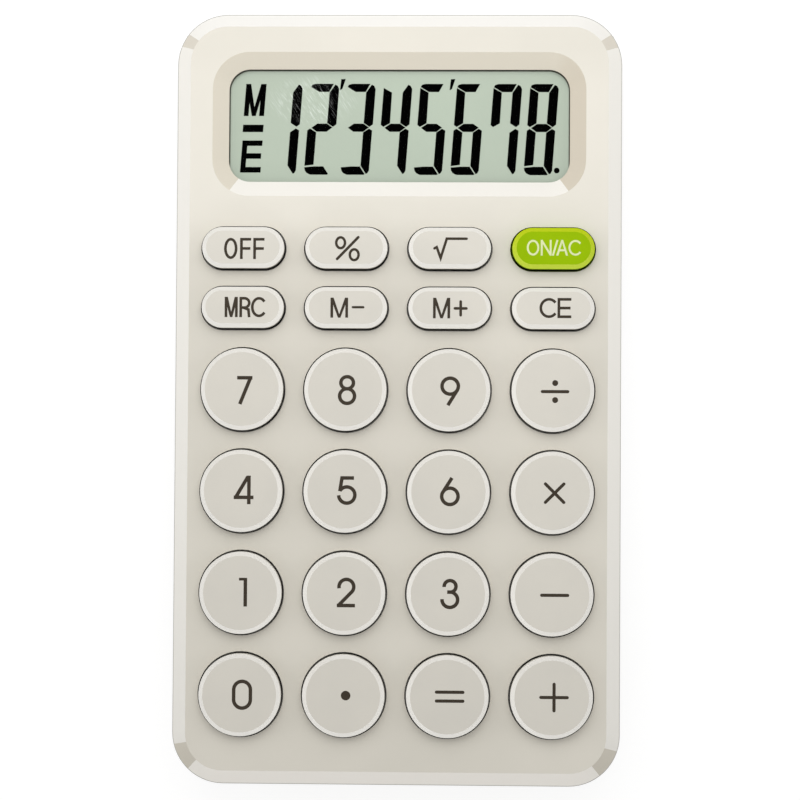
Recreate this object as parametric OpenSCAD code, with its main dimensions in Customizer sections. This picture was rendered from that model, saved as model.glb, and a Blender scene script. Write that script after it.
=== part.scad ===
// Desk calculator: a chamfered two-shell case with sprung keys, a rubber keypad, a printed
// circuit board, a glass LCD and a button cell. Millimetres. +X right, +Y towards the display,
// +Z up through the keys. The origin is on the desk, under the middle of the case.

/* [Case] */
// Width of the case
case_w = 70; // [69.5:0.5:90]
// Length of the case
case_l = 121; // [120.5:0.5:150]
// Corner radius of the case seen from above
corner_r = 8; // [7.5:0.25:10]
// Height of the rear shell, up to the parting line
rear_h = 5; // [5:0.25:9]
// Height of the front shell above the parting line
front_h = 7.4; // [7.2:0.1:9]
// Side wall of both shells
side_wall = 1.8; // [1.6:0.1:2]
// Top wall, which the keys pass through
top_wall = 1.8; // [1.6:0.1:2]
// Floor of the rear shell
floor_wall = 1.6; // [1.5:0.1:2]
// Width of the chamfer round the front face
front_bevel_w = 2.2; // [1:0.1:2.4]
// Height of the chamfer round the front face
front_bevel_h = 1.4; // [0.8:0.1:2]
// Width of the chamfer round the rear face
rear_bevel_w = 1.5; // [0.6:0.1:2]
// Height of the chamfer round the rear face
rear_bevel_h = 1; // [0.6:0.1:1.4]
// Thickness of the locating lip on the rear shell
lip_t = 0.8; // [0.6:0.05:0.9]
// Height of the locating lip on the rear shell
lip_h = 1; // [0.6:0.1:1.6]
// Depth and height of the shadow line at the parting line
shadow_line = 0.25; // [0.1:0.05:0.4]

/* [Feet] */
// Diameter of a rubber foot
foot_d = 8; // [6:0.5:9]
// Height that the feet hold the case off the desk
foot_h = 1; // [0.6:0.1:2]
// Depth of the seat that a foot is glued into
foot_seat = 0.6; // [0.4:0.1:0.8]
// Distance of a foot's centre from the side of the case
foot_side = 8; // [7:0.5:10]
// Distance of a foot's centre from the end of the case
foot_end = 15.5; // [13:0.5:20]

/* [Display window] */
// Distance from the side of the case to the sloped recess
recess_side = 5.7; // [5.5:0.1:6.5]
// Length of the sloped recess at the face
recess_l = 22.7; // [21.5:0.1:23]
// Corner radius of the recess at the face
recess_r = 5.8; // [5:0.1:6.5]
// Distance from the top end of the case to the recess
recess_margin = 6.2; // [5.8:0.1:6.8]
// Depth of the recess
recess_depth = 1.5; // [1:0.1:1.6]
// Width of the slope round the window
slope_w = 2.45; // [2:0.05:2.8]
// Thickness of the lip that frames the window
window_lip = 0.4; // [0.35:0.05:0.6]
// Width that the lens covers behind the lip, on each side
lens_overlap = 1.2; // [0.8:0.05:1.3]
// Thickness of the lens
lens_t = 0.8; // [0.7:0.05:1.1]
// Thickness of the adhesive that holds the lens
adhesive_t = 0.1; // [0.1:0.05:0.2]
// Clearance between the lens and the pads that hold the LCD
lens_play = 0.05; // [0.05:0.01:0.15]
// Thickness of the gasket between the glass and the case
gasket_t = 0.2; // [0.2:0.05:0.3]

/* [LCD] */
// How much narrower than the recess the LCD glass is, on each side
glass_inset = 0.8; // [0.7:0.1:1.2]
// Length of the ledge where the front glass stands past the rear glass
ledge_l = 3; // [2.9:0.1:3.1]
// Thickness of one glass
glass_t = 0.7; // [0.55:0.05:0.75]
// Thickness of a polarizer film
film_t = 0.15; // [0.1:0.05:0.15]
// Thickness of the reflector behind the LCD
reflector_t = 0.2; // [0.1:0.05:0.25]
// Side clearance of the glass in its frame
glass_gap = 0.2; // [0.1:0.05:0.3]
// Wall of the frame that holds the LCD
frame_wall = 1; // [0.8:0.1:1.1]
// Width of the elastomer strip that connects the LCD
strip_w = 1.8; // [1.5:0.1:2]
// Distance from the end of the glass to the elastomer strip
strip_end = 2.5; // [1.5:0.5:6]

/* [Keys] */
// Distance from the side of the case to the nearest key
key_side = 4.4; // [4.2:0.1:5]
// Distance from the bottom end of the case to the nearest key
key_end = 7.7; // [7.5:0.1:8.5]
// Least distance between two round keys
key_web = 3.05; // [2.8:0.05:3.5]
// Distance between the two rows of oval keys
oval_web = 2.95; // [2.7:0.05:3.3]
// Distance from the oval keys to the round keys
row_web = 3.2; // [3:0.1:3.6]
// Distance from the oval keys to the recess
recess_web = 5.1; // [5:0.1:5.6]
// Width of an oval key
oval_w = 6.4; // [6:0.1:6.6]
// Gap between a key and the edge of its hole
key_gap = 0.3; // [0.2:0.05:0.4]
// Height of the keys above the face
key_stand = 1.8; // [1:0.1:2]
// Travel of a key
key_travel = 1; // [0.6:0.05:1.1]
// Width of the bevel round a key's top
key_bevel_w = 0.65; // [0.3:0.05:0.8]
// Height of the bevel round a key's top
key_bevel_h = 0.45; // [0.2:0.05:0.7]
// Thickness of a key's top
key_top_t = 1.4; // [1:0.1:1.8]
// Wall of the hollow under a key's top
key_wall = 0.8; // [0.7:0.1:1]
// Width of the flange that holds a key in the case, past its side
flange_w = 0.8; // [0.6:0.05:0.9]
// Thickness of the flange
flange_t = 0.8; // [0.6:0.05:0.9]
// Clearance between the flange and the case
flange_gap = 0.05; // [0.05:0.01:0.1]
// Diameter of the stem under a key
stem_d = 3.6; // [3:0.1:3.8]

/* [Rubber keypad] */
// Thickness of the silicone sheet
sheet_t = 0.8; // [0.6:0.1:1]
// Radius of a dome where it meets the sheet
dome_r = 3.6; // [3.4:0.05:3.7]
// Radius of the boss on a dome
boss_r = 2.2; // [2:0.05:2.3]
// Thickness of the boss between the key's stem and the carbon pill
boss_t = 0.85; // [0.7:0.05:1]
// Thickness of a dome's thin wall
web_t = 0.35; // [0.25:0.05:0.4]
// Radius of a carbon pill
pill_r = 1.7; // [1.4:0.05:1.8]
// Thickness of a carbon pill
pill_t = 0.4; // [0.3:0.05:0.5]

/* [Board] */
// Thickness of the board
board_t = 1.2; // [1:0.1:1.4]
// Clearance between the board and the side walls
board_gap = 0.8; // [0.6:0.1:1]
// Thickness of a printed contact pad
pad_t = 0.05; // [0.03:0.01:0.1]
// Radius of a contact pad
pad_r = 2.4; // [1.8:0.1:2.8]
// Gap between the two halves of a contact pad
pad_slit = 0.4; // [0.3:0.05:0.5]
// Width of the epoxy blob over the chip
blob_d = 9; // [7:0.5:11]
// Height of the epoxy blob over the chip
blob_h = 1.4; // [1:0.1:1.6]

/* [Screws] */
// Diameter of a case screw's thread
case_screw_d = 1.7; // [1.5:0.05:1.8]
// Diameter of a case screw's head
case_head_d = 3.4; // [3:0.1:3.5]
// Height of a case screw's head
case_head_h = 1.1; // [0.9:0.05:1.2]
// Outer diameter of a case screw's post
post_d = 5.2; // [4.8:0.1:5.4]
// Distance of a corner screw from the side of the case
corner_screw_x = 5.4; // [5:0.1:5.6]
// Distance of a corner screw from the end of the case
corner_screw_y = 5; // [4.8:0.1:5.2]
// Diameter of a small screw's thread
small_screw_d = 1.5; // [1.3:0.05:1.6]
// Diameter of a small screw's head
small_head_d = 2.8; // [2.4:0.1:3]
// Height of a small screw's head
small_head_h = 0.8; // [0.6:0.05:0.9]
// Outer diameter of a boss for a small screw
small_boss_d = 3.8; // [3.4:0.1:3.8]
// Clearance of a screw in a through hole, on the radius
screw_gap = 0.15; // [0.1:0.05:0.2]

/* [Battery] */
// Diameter of the button cell
cell_d = 11.6; // [11:0.1:11.6]
// Height of the button cell
cell_h = 3.05; // [2.6:0.05:3.1]
// Radial clearance of the cell in its well
cell_gap = 0.25; // [0.2:0.05:0.4]
// Wall of the well
well_wall = 1.25; // [1:0.05:1.4]
// Distance of the cell's centre from the top end of the case
cell_end = 14.5; // [13.5:0.25:16]
// Width of the battery door
door_w = 22; // [20:0.5:24]
// Length of the battery door
door_l = 23.5; // [22.5:0.25:25]
// Thickness of the battery door
door_t = 1.4; // [1.3:0.1:1.6]
// Width of the tongues along the door's sides
tongue_w = 0.8; // [0.5:0.1:1]
// Thickness of the tongues along the door's sides
tongue_t = 0.55; // [0.5:0.05:0.7]
// Clearance of the door in its opening
door_gap = 0.1; // [0.08:0.01:0.15]
// Thickness of the plate over the door
plate_t = 1; // [0.8:0.1:1.1]
// Thickness of a battery contact
contact_t = 0.25; // [0.2:0.05:0.3]
// Width of a battery contact
contact_w = 3; // [2:0.25:4]
// Diameter of a wire
wire_d = 0.9; // [0.7:0.05:1]

/* [Hidden] */
eps = 0.01;
$fn = 64;

// Heights of the case
rear_z = foot_h;
floor_z = rear_z + floor_wall;
part_z = rear_z + rear_h;
face_z = part_z + front_h;
ceiling_z = face_z - top_wall;

// Heights of the key stack, hung from the top wall
board_drop = 4;
board_top = ceiling_z - board_drop;
board_bottom = board_top - board_t;
sheet_top = board_top + sheet_t;
pill_z = board_top + pad_t + key_travel;
boss_z = pill_z + pill_t;
stem_z = boss_z + boss_t;
flange_top = ceiling_z - flange_gap;
flange_z = flange_top - flange_t;
key_top_z = face_z + key_stand;

// Heights of the display stack, hung from the bottom of the recess
window_z = face_z - recess_depth;
pocket_z = window_z - window_lip;
lens_top = pocket_z - adhesive_t;
lens_z = lens_top - lens_t;
pad_z = lens_z - lens_play;
glass_top = pad_z - gasket_t;
front_glass_z = glass_top - glass_t;
rear_glass_z = front_glass_z - glass_t;
reflector_z = rear_glass_z - reflector_t;

// Plan of the display
recess_w = case_w - 2 * recess_side;
recess_y = case_l / 2 - recess_margin - recess_l / 2;
window_w = recess_w - 2 * slope_w;
window_l = recess_l - 2 * slope_w;
window_r = recess_r - slope_w;
lens_w = window_w + 2 * lens_overlap;
lens_l = window_l + 2 * lens_overlap;
lens_r = window_r - 0.6;
lens_gap = 0.15;
film_inset = 0.8;
glass_w = recess_w - 2 * glass_inset;
glass_y1 = recess_y + lens_l / 2 - 0.35;
rear_glass_l = lens_l - 1.2;
rear_glass_y0 = glass_y1 - rear_glass_l;
front_glass_y0 = rear_glass_y0 - ledge_l;
front_glass_l = rear_glass_l + ledge_l;
strip_y = (front_glass_y0 + rear_glass_y0) / 2 - 0.2;
strip_gap = 0.1;
strip_l = glass_w - 2 * strip_end;
frame_y0 = front_glass_y0 - glass_gap - frame_wall + 0.3;
frame_y1 = glass_y1 + glass_gap + frame_wall;
frame_hw = glass_w / 2 + glass_gap + frame_wall;
display_pad_y0 = frame_y0 - 0.1;
ear_x = frame_hw + small_head_d / 2 + 0.05;
ear_ys = [front_glass_y0 + 5.5, glass_y1 - 3.9];
ear_t = 1.6;

// Size and pitch of the round keys, which fill what the margins leave
keys_w = case_w - 2 * key_side;
keys_l = case_l - recess_margin - recess_l - recess_web - 2 * oval_w - oval_web - row_web - key_end;
key_d = (min(keys_w, keys_l) - 3 * key_web) / 4;
pitch_x = (keys_w - key_d) / 3;
pitch_y = (keys_l - key_d) / 3;
oval_pitch = oval_w + oval_web;

// Plan of the keys: name, column, row and shape
KEYS = [
    ["key_off", 0, 0, "oval"], ["key_percent", 1, 0, "oval"],
    ["key_root", 2, 0, "oval"], ["key_on_clear_all", 3, 0, "oval"],
    ["key_memory_recall", 0, 1, "oval"], ["key_memory_minus", 1, 1, "oval"],
    ["key_memory_plus", 2, 1, "oval"], ["key_clear_entry", 3, 1, "oval"],
    ["key_7", 0, 0, "round"], ["key_8", 1, 0, "round"],
    ["key_9", 2, 0, "round"], ["key_divide", 3, 0, "round"],
    ["key_4", 0, 1, "round"], ["key_5", 1, 1, "round"],
    ["key_6", 2, 1, "round"], ["key_multiply", 3, 1, "round"],
    ["key_1", 0, 2, "round"], ["key_2", 1, 2, "round"],
    ["key_3", 2, 2, "round"], ["key_minus", 3, 2, "round"],
    ["key_0", 0, 3, "round"], ["key_point", 1, 3, "round"],
    ["key_equals", 2, 3, "round"], ["key_plus", 3, 3, "round"],
];
function col_x(c) = (c - 1.5) * pitch_x;
function round_y(r) = -case_l / 2 + key_end + key_d / 2 + (3 - r) * pitch_y;
function oval_y(r) = round_y(0) + key_d / 2 + row_web + oval_w / 2 + (1 - r) * oval_pitch;
function is_oval(k) = k[3] == "oval";
function key_at(k) = [col_x(k[1]), is_oval(k) ? oval_y(k[2]) : round_y(k[2])];

// Plan of the screws
corner_screws = [for (sx = [-1, 1], sy = [-1, 1])
    [sx * (case_w / 2 - corner_screw_x), sy * (case_l / 2 - corner_screw_y)]];
middle_screws = [for (sx = [-1, 1]) [sx * pitch_x, (round_y(0) + round_y(1)) / 2]];
case_screw_at = concat(corner_screws, middle_screws);
board_screw_at = concat(
    [for (sx = [-1, 1]) [sx * pitch_x, display_pad_y0 - small_boss_d / 2 - 0.2]],
    [for (sx = [-1, 1]) [sx * pitch_x, (round_y(0) + oval_y(1)) / 2]],
    [for (sx = [-1, 1]) [sx * pitch_x, (round_y(2) + round_y(3)) / 2]],
    [[0, (round_y(1) + round_y(2)) / 2]]);
frame_screw_at = [for (sx = [-1, 1], y = ear_ys) [sx * ear_x, y]];
case_pilot_depth = 4.2;
small_pilot_depth = 3;
frame_pilot_depth = 2;

// Plan of the board and the keypad
board_hw = case_w / 2 - side_wall - board_gap;
board_y0 = -case_l / 2 + side_wall + board_gap + 0.9;
board_y1 = rear_glass_y0 + 1.8;
sheet_inset = 0.7;
sheet_y1 = frame_y0 - 0.5;
chip_part_x = pitch_x / 2 + 2;
foot_at = [for (sx = [-1, 1], sy = [-1, 1])
    [sx * (case_w / 2 - foot_side), sy * (case_l / 2 - foot_end)]];

// Plan and heights of the battery
cell_y = case_l / 2 - cell_end;
door_top = rear_z + door_t;
plate_z = door_top + door_gap;
cell_z = door_top + 0.05;
cell_top = cell_z + cell_h;
cap_h = 0.45;
well_r = cell_d / 2 + cell_gap;
well_top = cell_top;
door_y0 = case_l / 2 - door_l;
stake_d = 1;
stake_h = 0.6;
stake_at = well_r + well_wall / 2;

// ---------------------------------------------------------------- shared shapes

// A block with round corners seen from above
module rounded_block(w, l, r, h) {
    linear_extrude(h) union() {
        square([w, l - 2 * r], center = true);
        square([w - 2 * r, l], center = true);
        for (sx = [-1, 1], sy = [-1, 1])
            translate([sx * (w / 2 - r), sy * (l / 2 - r)]) circle(r);
    }
}

// A rounded block whose upper edge is chamfered
module beveled_block(w, l, r, h, bevel_w, bevel_h) {
    side = h - bevel_h;
    function half(x) = [[0, 0], [x, 0], [x, side], [x - bevel_w, h], [0, h]];
    function section(x) = [[-x, 0], [x, 0], [x, side], [x - bevel_w, h],
                           [bevel_w - x, h], [-x, side]];
    rotate([90, 0, 0]) linear_extrude(l - 2 * r, center = true) polygon(section(w / 2));
    rotate([90, 0, 90]) linear_extrude(w - 2 * r, center = true) polygon(section(l / 2));
    for (sx = [-1, 1], sy = [-1, 1])
        translate([sx * (w / 2 - r), sy * (l / 2 - r), 0]) rotate_extrude() polygon(half(r));
}

// The plan of a key, grown by a margin: a disc, or two half discs joined
module key_plan(oval, margin, h) {
    d = (oval ? oval_w : key_d) + 2 * margin;
    linear_extrude(h) union() {
        if (oval) {
            square([key_d - oval_w, d], center = true);
            for (s = [-1, 1]) translate([s * (key_d - oval_w) / 2, 0]) circle(d / 2);
        } else {
            circle(d / 2);
        }
    }
}

module at_all(places) {
    for (p = places) translate([p[0], p[1], 0]) children();
}

// A pan-head screw that points up, with its head's underside at z = 0
module screw(d, head_d, head_h, length) {
    slot_w = d / 4;
    difference() {
        union() {
            cylinder(d = d, h = length);
            translate([0, 0, -head_h * 0.6]) cylinder(d = head_d, h = head_h * 0.6);
            translate([0, 0, -head_h])
                cylinder(d1 = head_d * 0.8, d2 = head_d, h = head_h * 0.4);
        }
        for (turn = [0, 90])
            rotate(turn) translate([0, 0, -head_h]) cube([head_d * 0.6, slot_w, head_h], center = true);
    }
}

// A thin wire swept along its route: eight sides, one ring at each point
function unit(v) = v / norm(v);
function along(p, i) = unit(p[min(i + 1, len(p) - 1)] - p[max(i - 1, 0)]);
module wire(route, d) {
    sides = 8;
    n = len(route);
    rings = [for (i = [0:n - 1])
        let (t = along(route, i), u = unit(cross(t, [0.1, 0.2, 1])), v = cross(t, u))
            for (k = [0:sides - 1])
                let (a = 360 * k / sides) route[i] + d / 2 * (cos(a) * u + sin(a) * v)];
    walls = [for (i = [0:n - 2], k = [0:sides - 1])
        let (a = i * sides + k, b = i * sides + (k + 1) % sides)
            [a, b, b + sides, a + sides]];
    polyhedron(rings, concat(walls, [[for (k = [sides - 1:-1:0]) k]],
                             [[for (k = [0:sides - 1]) (n - 1) * sides + k]]));
}

// ---------------------------------------------------------------- case

module front_shell() {
    color([0.93, 0.91, 0.87]) difference() {
        union() {
            difference() {
                translate([0, 0, part_z])
                    beveled_block(case_w, case_l, corner_r, front_h, front_bevel_w, front_bevel_h);
                translate([0, 0, part_z - eps])
                    rounded_block(case_w - 2 * side_wall, case_l - 2 * side_wall,
                                  corner_r - side_wall, ceiling_z - part_z + eps);
            }
            display_pad();
            at_all(case_screw_at) translate([0, 0, part_z])
                cylinder(d = post_d, h = ceiling_z - part_z + eps);
            at_all(board_screw_at) translate([0, 0, board_top])
                cylinder(d = small_boss_d, h = ceiling_z - board_top + eps);
        }
        display_cuts();
        for (k = KEYS) translate(concat(key_at(k), [ceiling_z - 1]))
            key_plan(is_oval(k), key_gap, top_wall + 2);
        // seat of the rear shell's lip
        translate([0, 0, part_z - eps]) lip_ring(lip_t + 0.1, lip_h + 0.1);
        at_all(case_screw_at) translate([0, 0, part_z - eps])
            cylinder(d = case_screw_d, h = case_pilot_depth);
        at_all(board_screw_at) translate([0, 0, board_top - eps])
            cylinder(d = small_screw_d, h = small_pilot_depth);
        at_all(frame_screw_at) translate([0, 0, pad_z - eps])
            cylinder(d = small_screw_d, h = frame_pilot_depth);
    }
}

// The thicker stretch of the top wall that carries the lens and the LCD
module display_pad() {
    y0 = display_pad_y0;
    y1 = case_l / 2 - side_wall - 1.5;
    w = case_w - 2 * side_wall + 1;
    translate([-w / 2, y0, pad_z]) cube([w, y1 - y0, ceiling_z - pad_z + eps]);
}

module display_cuts() {
    translate([0, recess_y, face_z + eps]) mirror([0, 0, 1])
        beveled_block(recess_w, recess_l, recess_r, recess_depth + eps, slope_w, recess_depth);
    translate([0, recess_y, pocket_z - eps])
        rounded_block(window_w, window_l, window_r, window_lip + 1);
    translate([0, recess_y, pad_z - eps])
        rounded_block(lens_w + 2 * lens_gap, lens_l + 2 * lens_gap, lens_r + lens_gap,
                      pocket_z - pad_z + eps);
}

// The band just inside the outer half of the side wall
module lip_ring(t, h) {
    difference() {
        rounded_block(case_w - 2 * (side_wall - t), case_l - 2 * (side_wall - t),
                      corner_r - side_wall + t, h);
        translate([0, 0, -eps])
            rounded_block(case_w - 2 * side_wall, case_l - 2 * side_wall,
                          corner_r - side_wall, h + 2 * eps);
    }
}

module rear_shell() {
    color([0.9, 0.88, 0.83]) difference() {
        union() {
            difference() {
                translate([0, 0, part_z]) mirror([0, 0, 1])
                    beveled_block(case_w, case_l, corner_r, rear_h, rear_bevel_w, rear_bevel_h);
                translate([0, 0, floor_z])
                    rounded_block(case_w - 2 * side_wall, case_l - 2 * side_wall,
                                  corner_r - side_wall, rear_h);
            }
            difference() {
                translate([0, 0, part_z - eps]) lip_ring(lip_t, lip_h + eps);
                at_all(case_screw_at) translate([0, 0, part_z])
                    cylinder(d = post_d + 0.4, h = lip_h + 1);
            }
            at_all(case_screw_at) translate([0, 0, rear_z + 0.5])
                cylinder(d = post_d, h = part_z - rear_z - 0.5);
            battery_plate();
            floor_ribs();
        }
        door_opening();
        translate([0, cell_y, rear_z]) cylinder(r = well_r, h = rear_h);
        battery_contact_slots();
        at_all(case_screw_at) {
            translate([0, 0, rear_z - eps])
                cylinder(d = case_head_d + 2 * screw_gap, h = floor_wall + eps);
            translate([0, 0, rear_z]) cylinder(d = case_screw_d + 2 * screw_gap, h = rear_h + 1);
        }
        at_all(foot_at) translate([0, 0, rear_z - eps])
            cylinder(d = foot_d + 0.1, h = foot_seat + eps);
        // shadow line along the parting line
        difference() {
            translate([0, 0, part_z - shadow_line]) linear_extrude(lip_h)
                square([case_w + 2, case_l + 2], center = true);
            translate([0, 0, part_z - shadow_line - eps])
                rounded_block(case_w - 2 * shadow_line, case_l - 2 * shadow_line,
                              corner_r - shadow_line, lip_h + 1);
        }
    }
}

// Low stiffening ribs across the floor
module floor_ribs() {
    rib_t = 0.9;
    rib_h = 1.4;
    for (y = [round_y(3), round_y(1), oval_y(1)])
        translate([-case_w / 2 + side_wall - eps, y - rib_t / 2, floor_z - eps])
            cube([case_w - 2 * side_wall + 2 * eps, rib_t, rib_h]);
    for (sx = [-1, 1])
        translate([sx * pitch_x - rib_t / 2, round_y(3), floor_z - eps])
            cube([rib_t, oval_y(1) - round_y(3), rib_h]);
}

// The plate that the door slides under, with the cell's well and its contact stakes
module battery_plate() {
    w = door_w + 2 * tongue_w + 2.6;
    y0 = door_y0 - 1.4;
    translate([-w / 2, y0, floor_z - 0.5])
        cube([w, case_l / 2 - side_wall - y0, plate_z + plate_t - floor_z + 0.5]);
    translate([0, cell_y, plate_z]) cylinder(r = well_r + well_wall, h = well_top - plate_z);
    for (a = [0, 180, 270]) rotate_about_cell(a) translate([stake_at, 0, well_top - eps])
        cylinder(d = stake_d, h = stake_h + eps);
}

module rotate_about_cell(a) {
    translate([0, cell_y, 0]) rotate(a) children();
}

// A notch in the well for the contact that touches the side of the cell
module battery_contact_slots() {
    rotate_about_cell(270) translate([0, -contact_w / 2 - 0.1, plate_z + plate_t])
        cube([well_r + contact_t, contact_w + 0.2, well_top]);
}

// The door's opening, open at the end of the case
module door_opening() {
    y0 = door_y0 - door_gap;
    length = case_l / 2 - y0 + 1;
    hw = door_w / 2 + door_gap;
    translate([-hw, y0, rear_z - eps]) cube([2 * hw, length, plate_z - rear_z + eps]);
    groove_z = door_top - tongue_t - door_gap;
    translate([-hw - tongue_w, y0, groove_z])
        cube([2 * (hw + tongue_w), length, plate_z - groove_z]);
}

module battery_door() {
    grip_n = 3;
    grip_pitch = 1.6;
    grip_d = 0.8;
    color([0.9, 0.88, 0.83]) difference() {
        intersection() {
            translate([0, 0, part_z]) mirror([0, 0, 1])
                beveled_block(case_w, case_l, corner_r, rear_h, rear_bevel_w, rear_bevel_h);
            translate([0, door_y0, rear_z - eps]) {
                translate([-door_w / 2, 0, 0]) cube([door_w, door_l + 1, door_t + eps]);
                translate([-door_w / 2 - tongue_w, 0, door_t - tongue_t + eps])
                    cube([door_w + 2 * tongue_w, door_l + 1, tongue_t]);
            }
        }
        for (i = [0:grip_n - 1])
            translate([0, case_l / 2 - 5 - i * grip_pitch, rear_z])
                rotate([0, 90, 0]) cylinder(d = grip_d, h = door_w / 2, center = true);
    }
}

module rubber_feet() {
    color([0.16, 0.16, 0.16]) at_all(foot_at)
        translate([0, 0, rear_z + foot_seat]) mirror([0, 0, 1]) rotate_extrude()
            polygon([[0, 0], [foot_d / 2, 0], [foot_d / 2, foot_seat + foot_h - 0.3],
                     [foot_d / 2 - 0.3, foot_seat + foot_h], [0, foot_seat + foot_h]]);
}

module case_screws() {
    color([0.7, 0.7, 0.72]) at_all(case_screw_at) translate([0, 0, floor_z])
        screw(case_screw_d, case_head_d, case_head_h, part_z - floor_z + case_pilot_depth - 0.4);
}

// ---------------------------------------------------------------- display

module display_lens() {
    color([0.75, 0.79, 0.75, 0.5]) translate([0, recess_y, lens_z])
        rounded_block(lens_w, lens_l, lens_r, lens_t);
}

module lens_adhesive() {
    inset = lens_overlap - 0.3;
    color([0.2, 0.2, 0.2]) translate([0, recess_y, lens_top]) difference() {
        rounded_block(lens_w, lens_l, lens_r, adhesive_t);
        translate([0, 0, -1])
            rounded_block(lens_w - 2 * inset, lens_l - 2 * inset, window_r + 0.3, adhesive_t + 2);
    }
}

module lcd_front_polarizer() {
    w = lens_w - 2 * film_inset - 0.6;
    l = lens_l - 2 * film_inset - 0.6;
    color([0.45, 0.48, 0.42]) translate([-w / 2, recess_y - l / 2, glass_top]) cube([w, l, film_t]);
}

module lcd_front_glass() {
    color([0.72, 0.76, 0.72]) translate([-glass_w / 2, front_glass_y0, front_glass_z])
        cube([glass_w, front_glass_l, glass_t]);
}

module lcd_rear_glass() {
    color([0.70, 0.74, 0.70]) translate([-glass_w / 2, rear_glass_y0, rear_glass_z])
        cube([glass_w, rear_glass_l, glass_t]);
}

module lcd_reflector() {
    color([0.74, 0.77, 0.71])
        translate([-glass_w / 2 + film_inset, rear_glass_y0 + film_inset, reflector_z])
        cube([glass_w - 2 * film_inset, rear_glass_l - 2 * film_inset, reflector_t]);
}

module lcd_gasket() {
    open_w = lens_w - 2 * film_inset;
    open_l = lens_l - 2 * film_inset;
    color([0.15, 0.15, 0.15]) difference() {
        translate([-glass_w / 2, front_glass_y0, glass_top]) cube([glass_w, front_glass_l, gasket_t]);
        translate([-open_w / 2, recess_y - open_l / 2, glass_top - 1])
            cube([open_w, open_l, gasket_t + 2]);
    }
}

// A tray under the glasses, with a slot for the elastomer strip and four screw ears
module lcd_frame() {
    base_z = board_top;
    color([0.88, 0.88, 0.86]) difference() {
        union() {
            translate([-frame_hw, frame_y0, base_z])
                cube([2 * frame_hw, frame_y1 - frame_y0, pad_z - base_z]);
            at_all(frame_screw_at) translate([0, 0, pad_z - ear_t])
                cylinder(d = small_boss_d, h = ear_t);
        }
        translate([-glass_w / 2 - glass_gap, front_glass_y0 - glass_gap, front_glass_z])
            cube([glass_w + 2 * glass_gap, front_glass_l + 2 * glass_gap, 5]);
        translate([-glass_w / 2 - glass_gap, rear_glass_y0 - glass_gap, reflector_z])
            cube([glass_w + 2 * glass_gap, rear_glass_l + 2 * glass_gap, 5]);
        translate([-strip_l / 2 - strip_gap, strip_y - strip_w / 2 - strip_gap, base_z - 1])
            cube([strip_l + 2 * strip_gap, strip_w + 2 * strip_gap, 8]);
        at_all(frame_screw_at) translate([0, 0, base_z - 1])
            cylinder(d = small_screw_d + 2 * screw_gap, h = 8);
        at_all(corner_screws) translate([0, 0, base_z - 1]) cylinder(d = post_d + 0.6, h = 8);
    }
}

module lcd_frame_screws() {
    color([0.7, 0.7, 0.72]) at_all(frame_screw_at) translate([0, 0, pad_z - ear_t])
        screw(small_screw_d, small_head_d, small_head_h, ear_t + frame_pilot_depth - 0.3);
}

module zebra_strip() {
    color([0.85, 0.6, 0.6]) translate([-strip_l / 2, strip_y - strip_w / 2, board_top])
        cube([strip_l, strip_w, front_glass_z - board_top]);
}

// ---------------------------------------------------------------- board

module main_board() {
    color([0.1, 0.4, 0.22]) difference() {
        translate([-board_hw, board_y0, board_bottom])
            cube([2 * board_hw, board_y1 - board_y0, board_t]);
        at_all(case_screw_at) translate([0, 0, board_bottom - 1])
            cylinder(d = post_d + 0.6, h = board_t + 2);
        // square notches outside the corner posts
        for (sx = [-1, 1]) translate([sx * (case_w / 2 - corner_screw_x), corner_screw_y - case_l / 2,
                                      board_bottom - 1])
            mirror([sx < 0 ? 1 : 0, 0, 0]) mirror([0, 1, 0]) cube([8, 8, board_t + 2]);
        at_all(board_screw_at) translate([0, 0, board_bottom - 1])
            cylinder(d = small_screw_d + 2 * screw_gap, h = board_t + 2);
    }
}

module board_screws() {
    color([0.7, 0.7, 0.72]) at_all(board_screw_at) translate([0, 0, board_bottom])
        screw(small_screw_d, small_head_d, small_head_h, board_t + small_pilot_depth - 0.4);
}

module contact_pads() {
    color([0.12, 0.12, 0.12]) for (k = KEYS) translate(concat(key_at(k), [board_top]))
        difference() {
            cylinder(r = pad_r, h = pad_t);
            cube([2 * pad_r + 1, pad_slit, 1], center = true);
        }
}

module chip_blob() {
    ball_r = (blob_d * blob_d / 4 + blob_h * blob_h) / (2 * blob_h);
    color([0.06, 0.06, 0.06]) translate([0, round_y(0), board_bottom]) intersection() {
        translate([0, 0, ball_r - blob_h]) sphere(ball_r, $fn = 96);
        translate([0, 0, -blob_h]) cylinder(d = blob_d + 1, h = blob_h);
    }
}

module ceramic_capacitors() {
    size = [2, 1.25, 0.9];
    color([0.66, 0.55, 0.42]) for (p = [[-chip_part_x, 6], [-chip_part_x, 9.5], [chip_part_x, 7]])
        translate([p[0], round_y(0) + p[1], board_bottom - size[2] / 2]) cube(size, center = true);
}

module resistors() {
    size = [1.6, 0.8, 0.5];
    color([0.1, 0.1, 0.12]) for (y = [-6, -8.5])
        translate([chip_part_x, round_y(0) + y, board_bottom - size[2] / 2])
            cube(size, center = true);
}

// ---------------------------------------------------------------- rubber keypad

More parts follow.
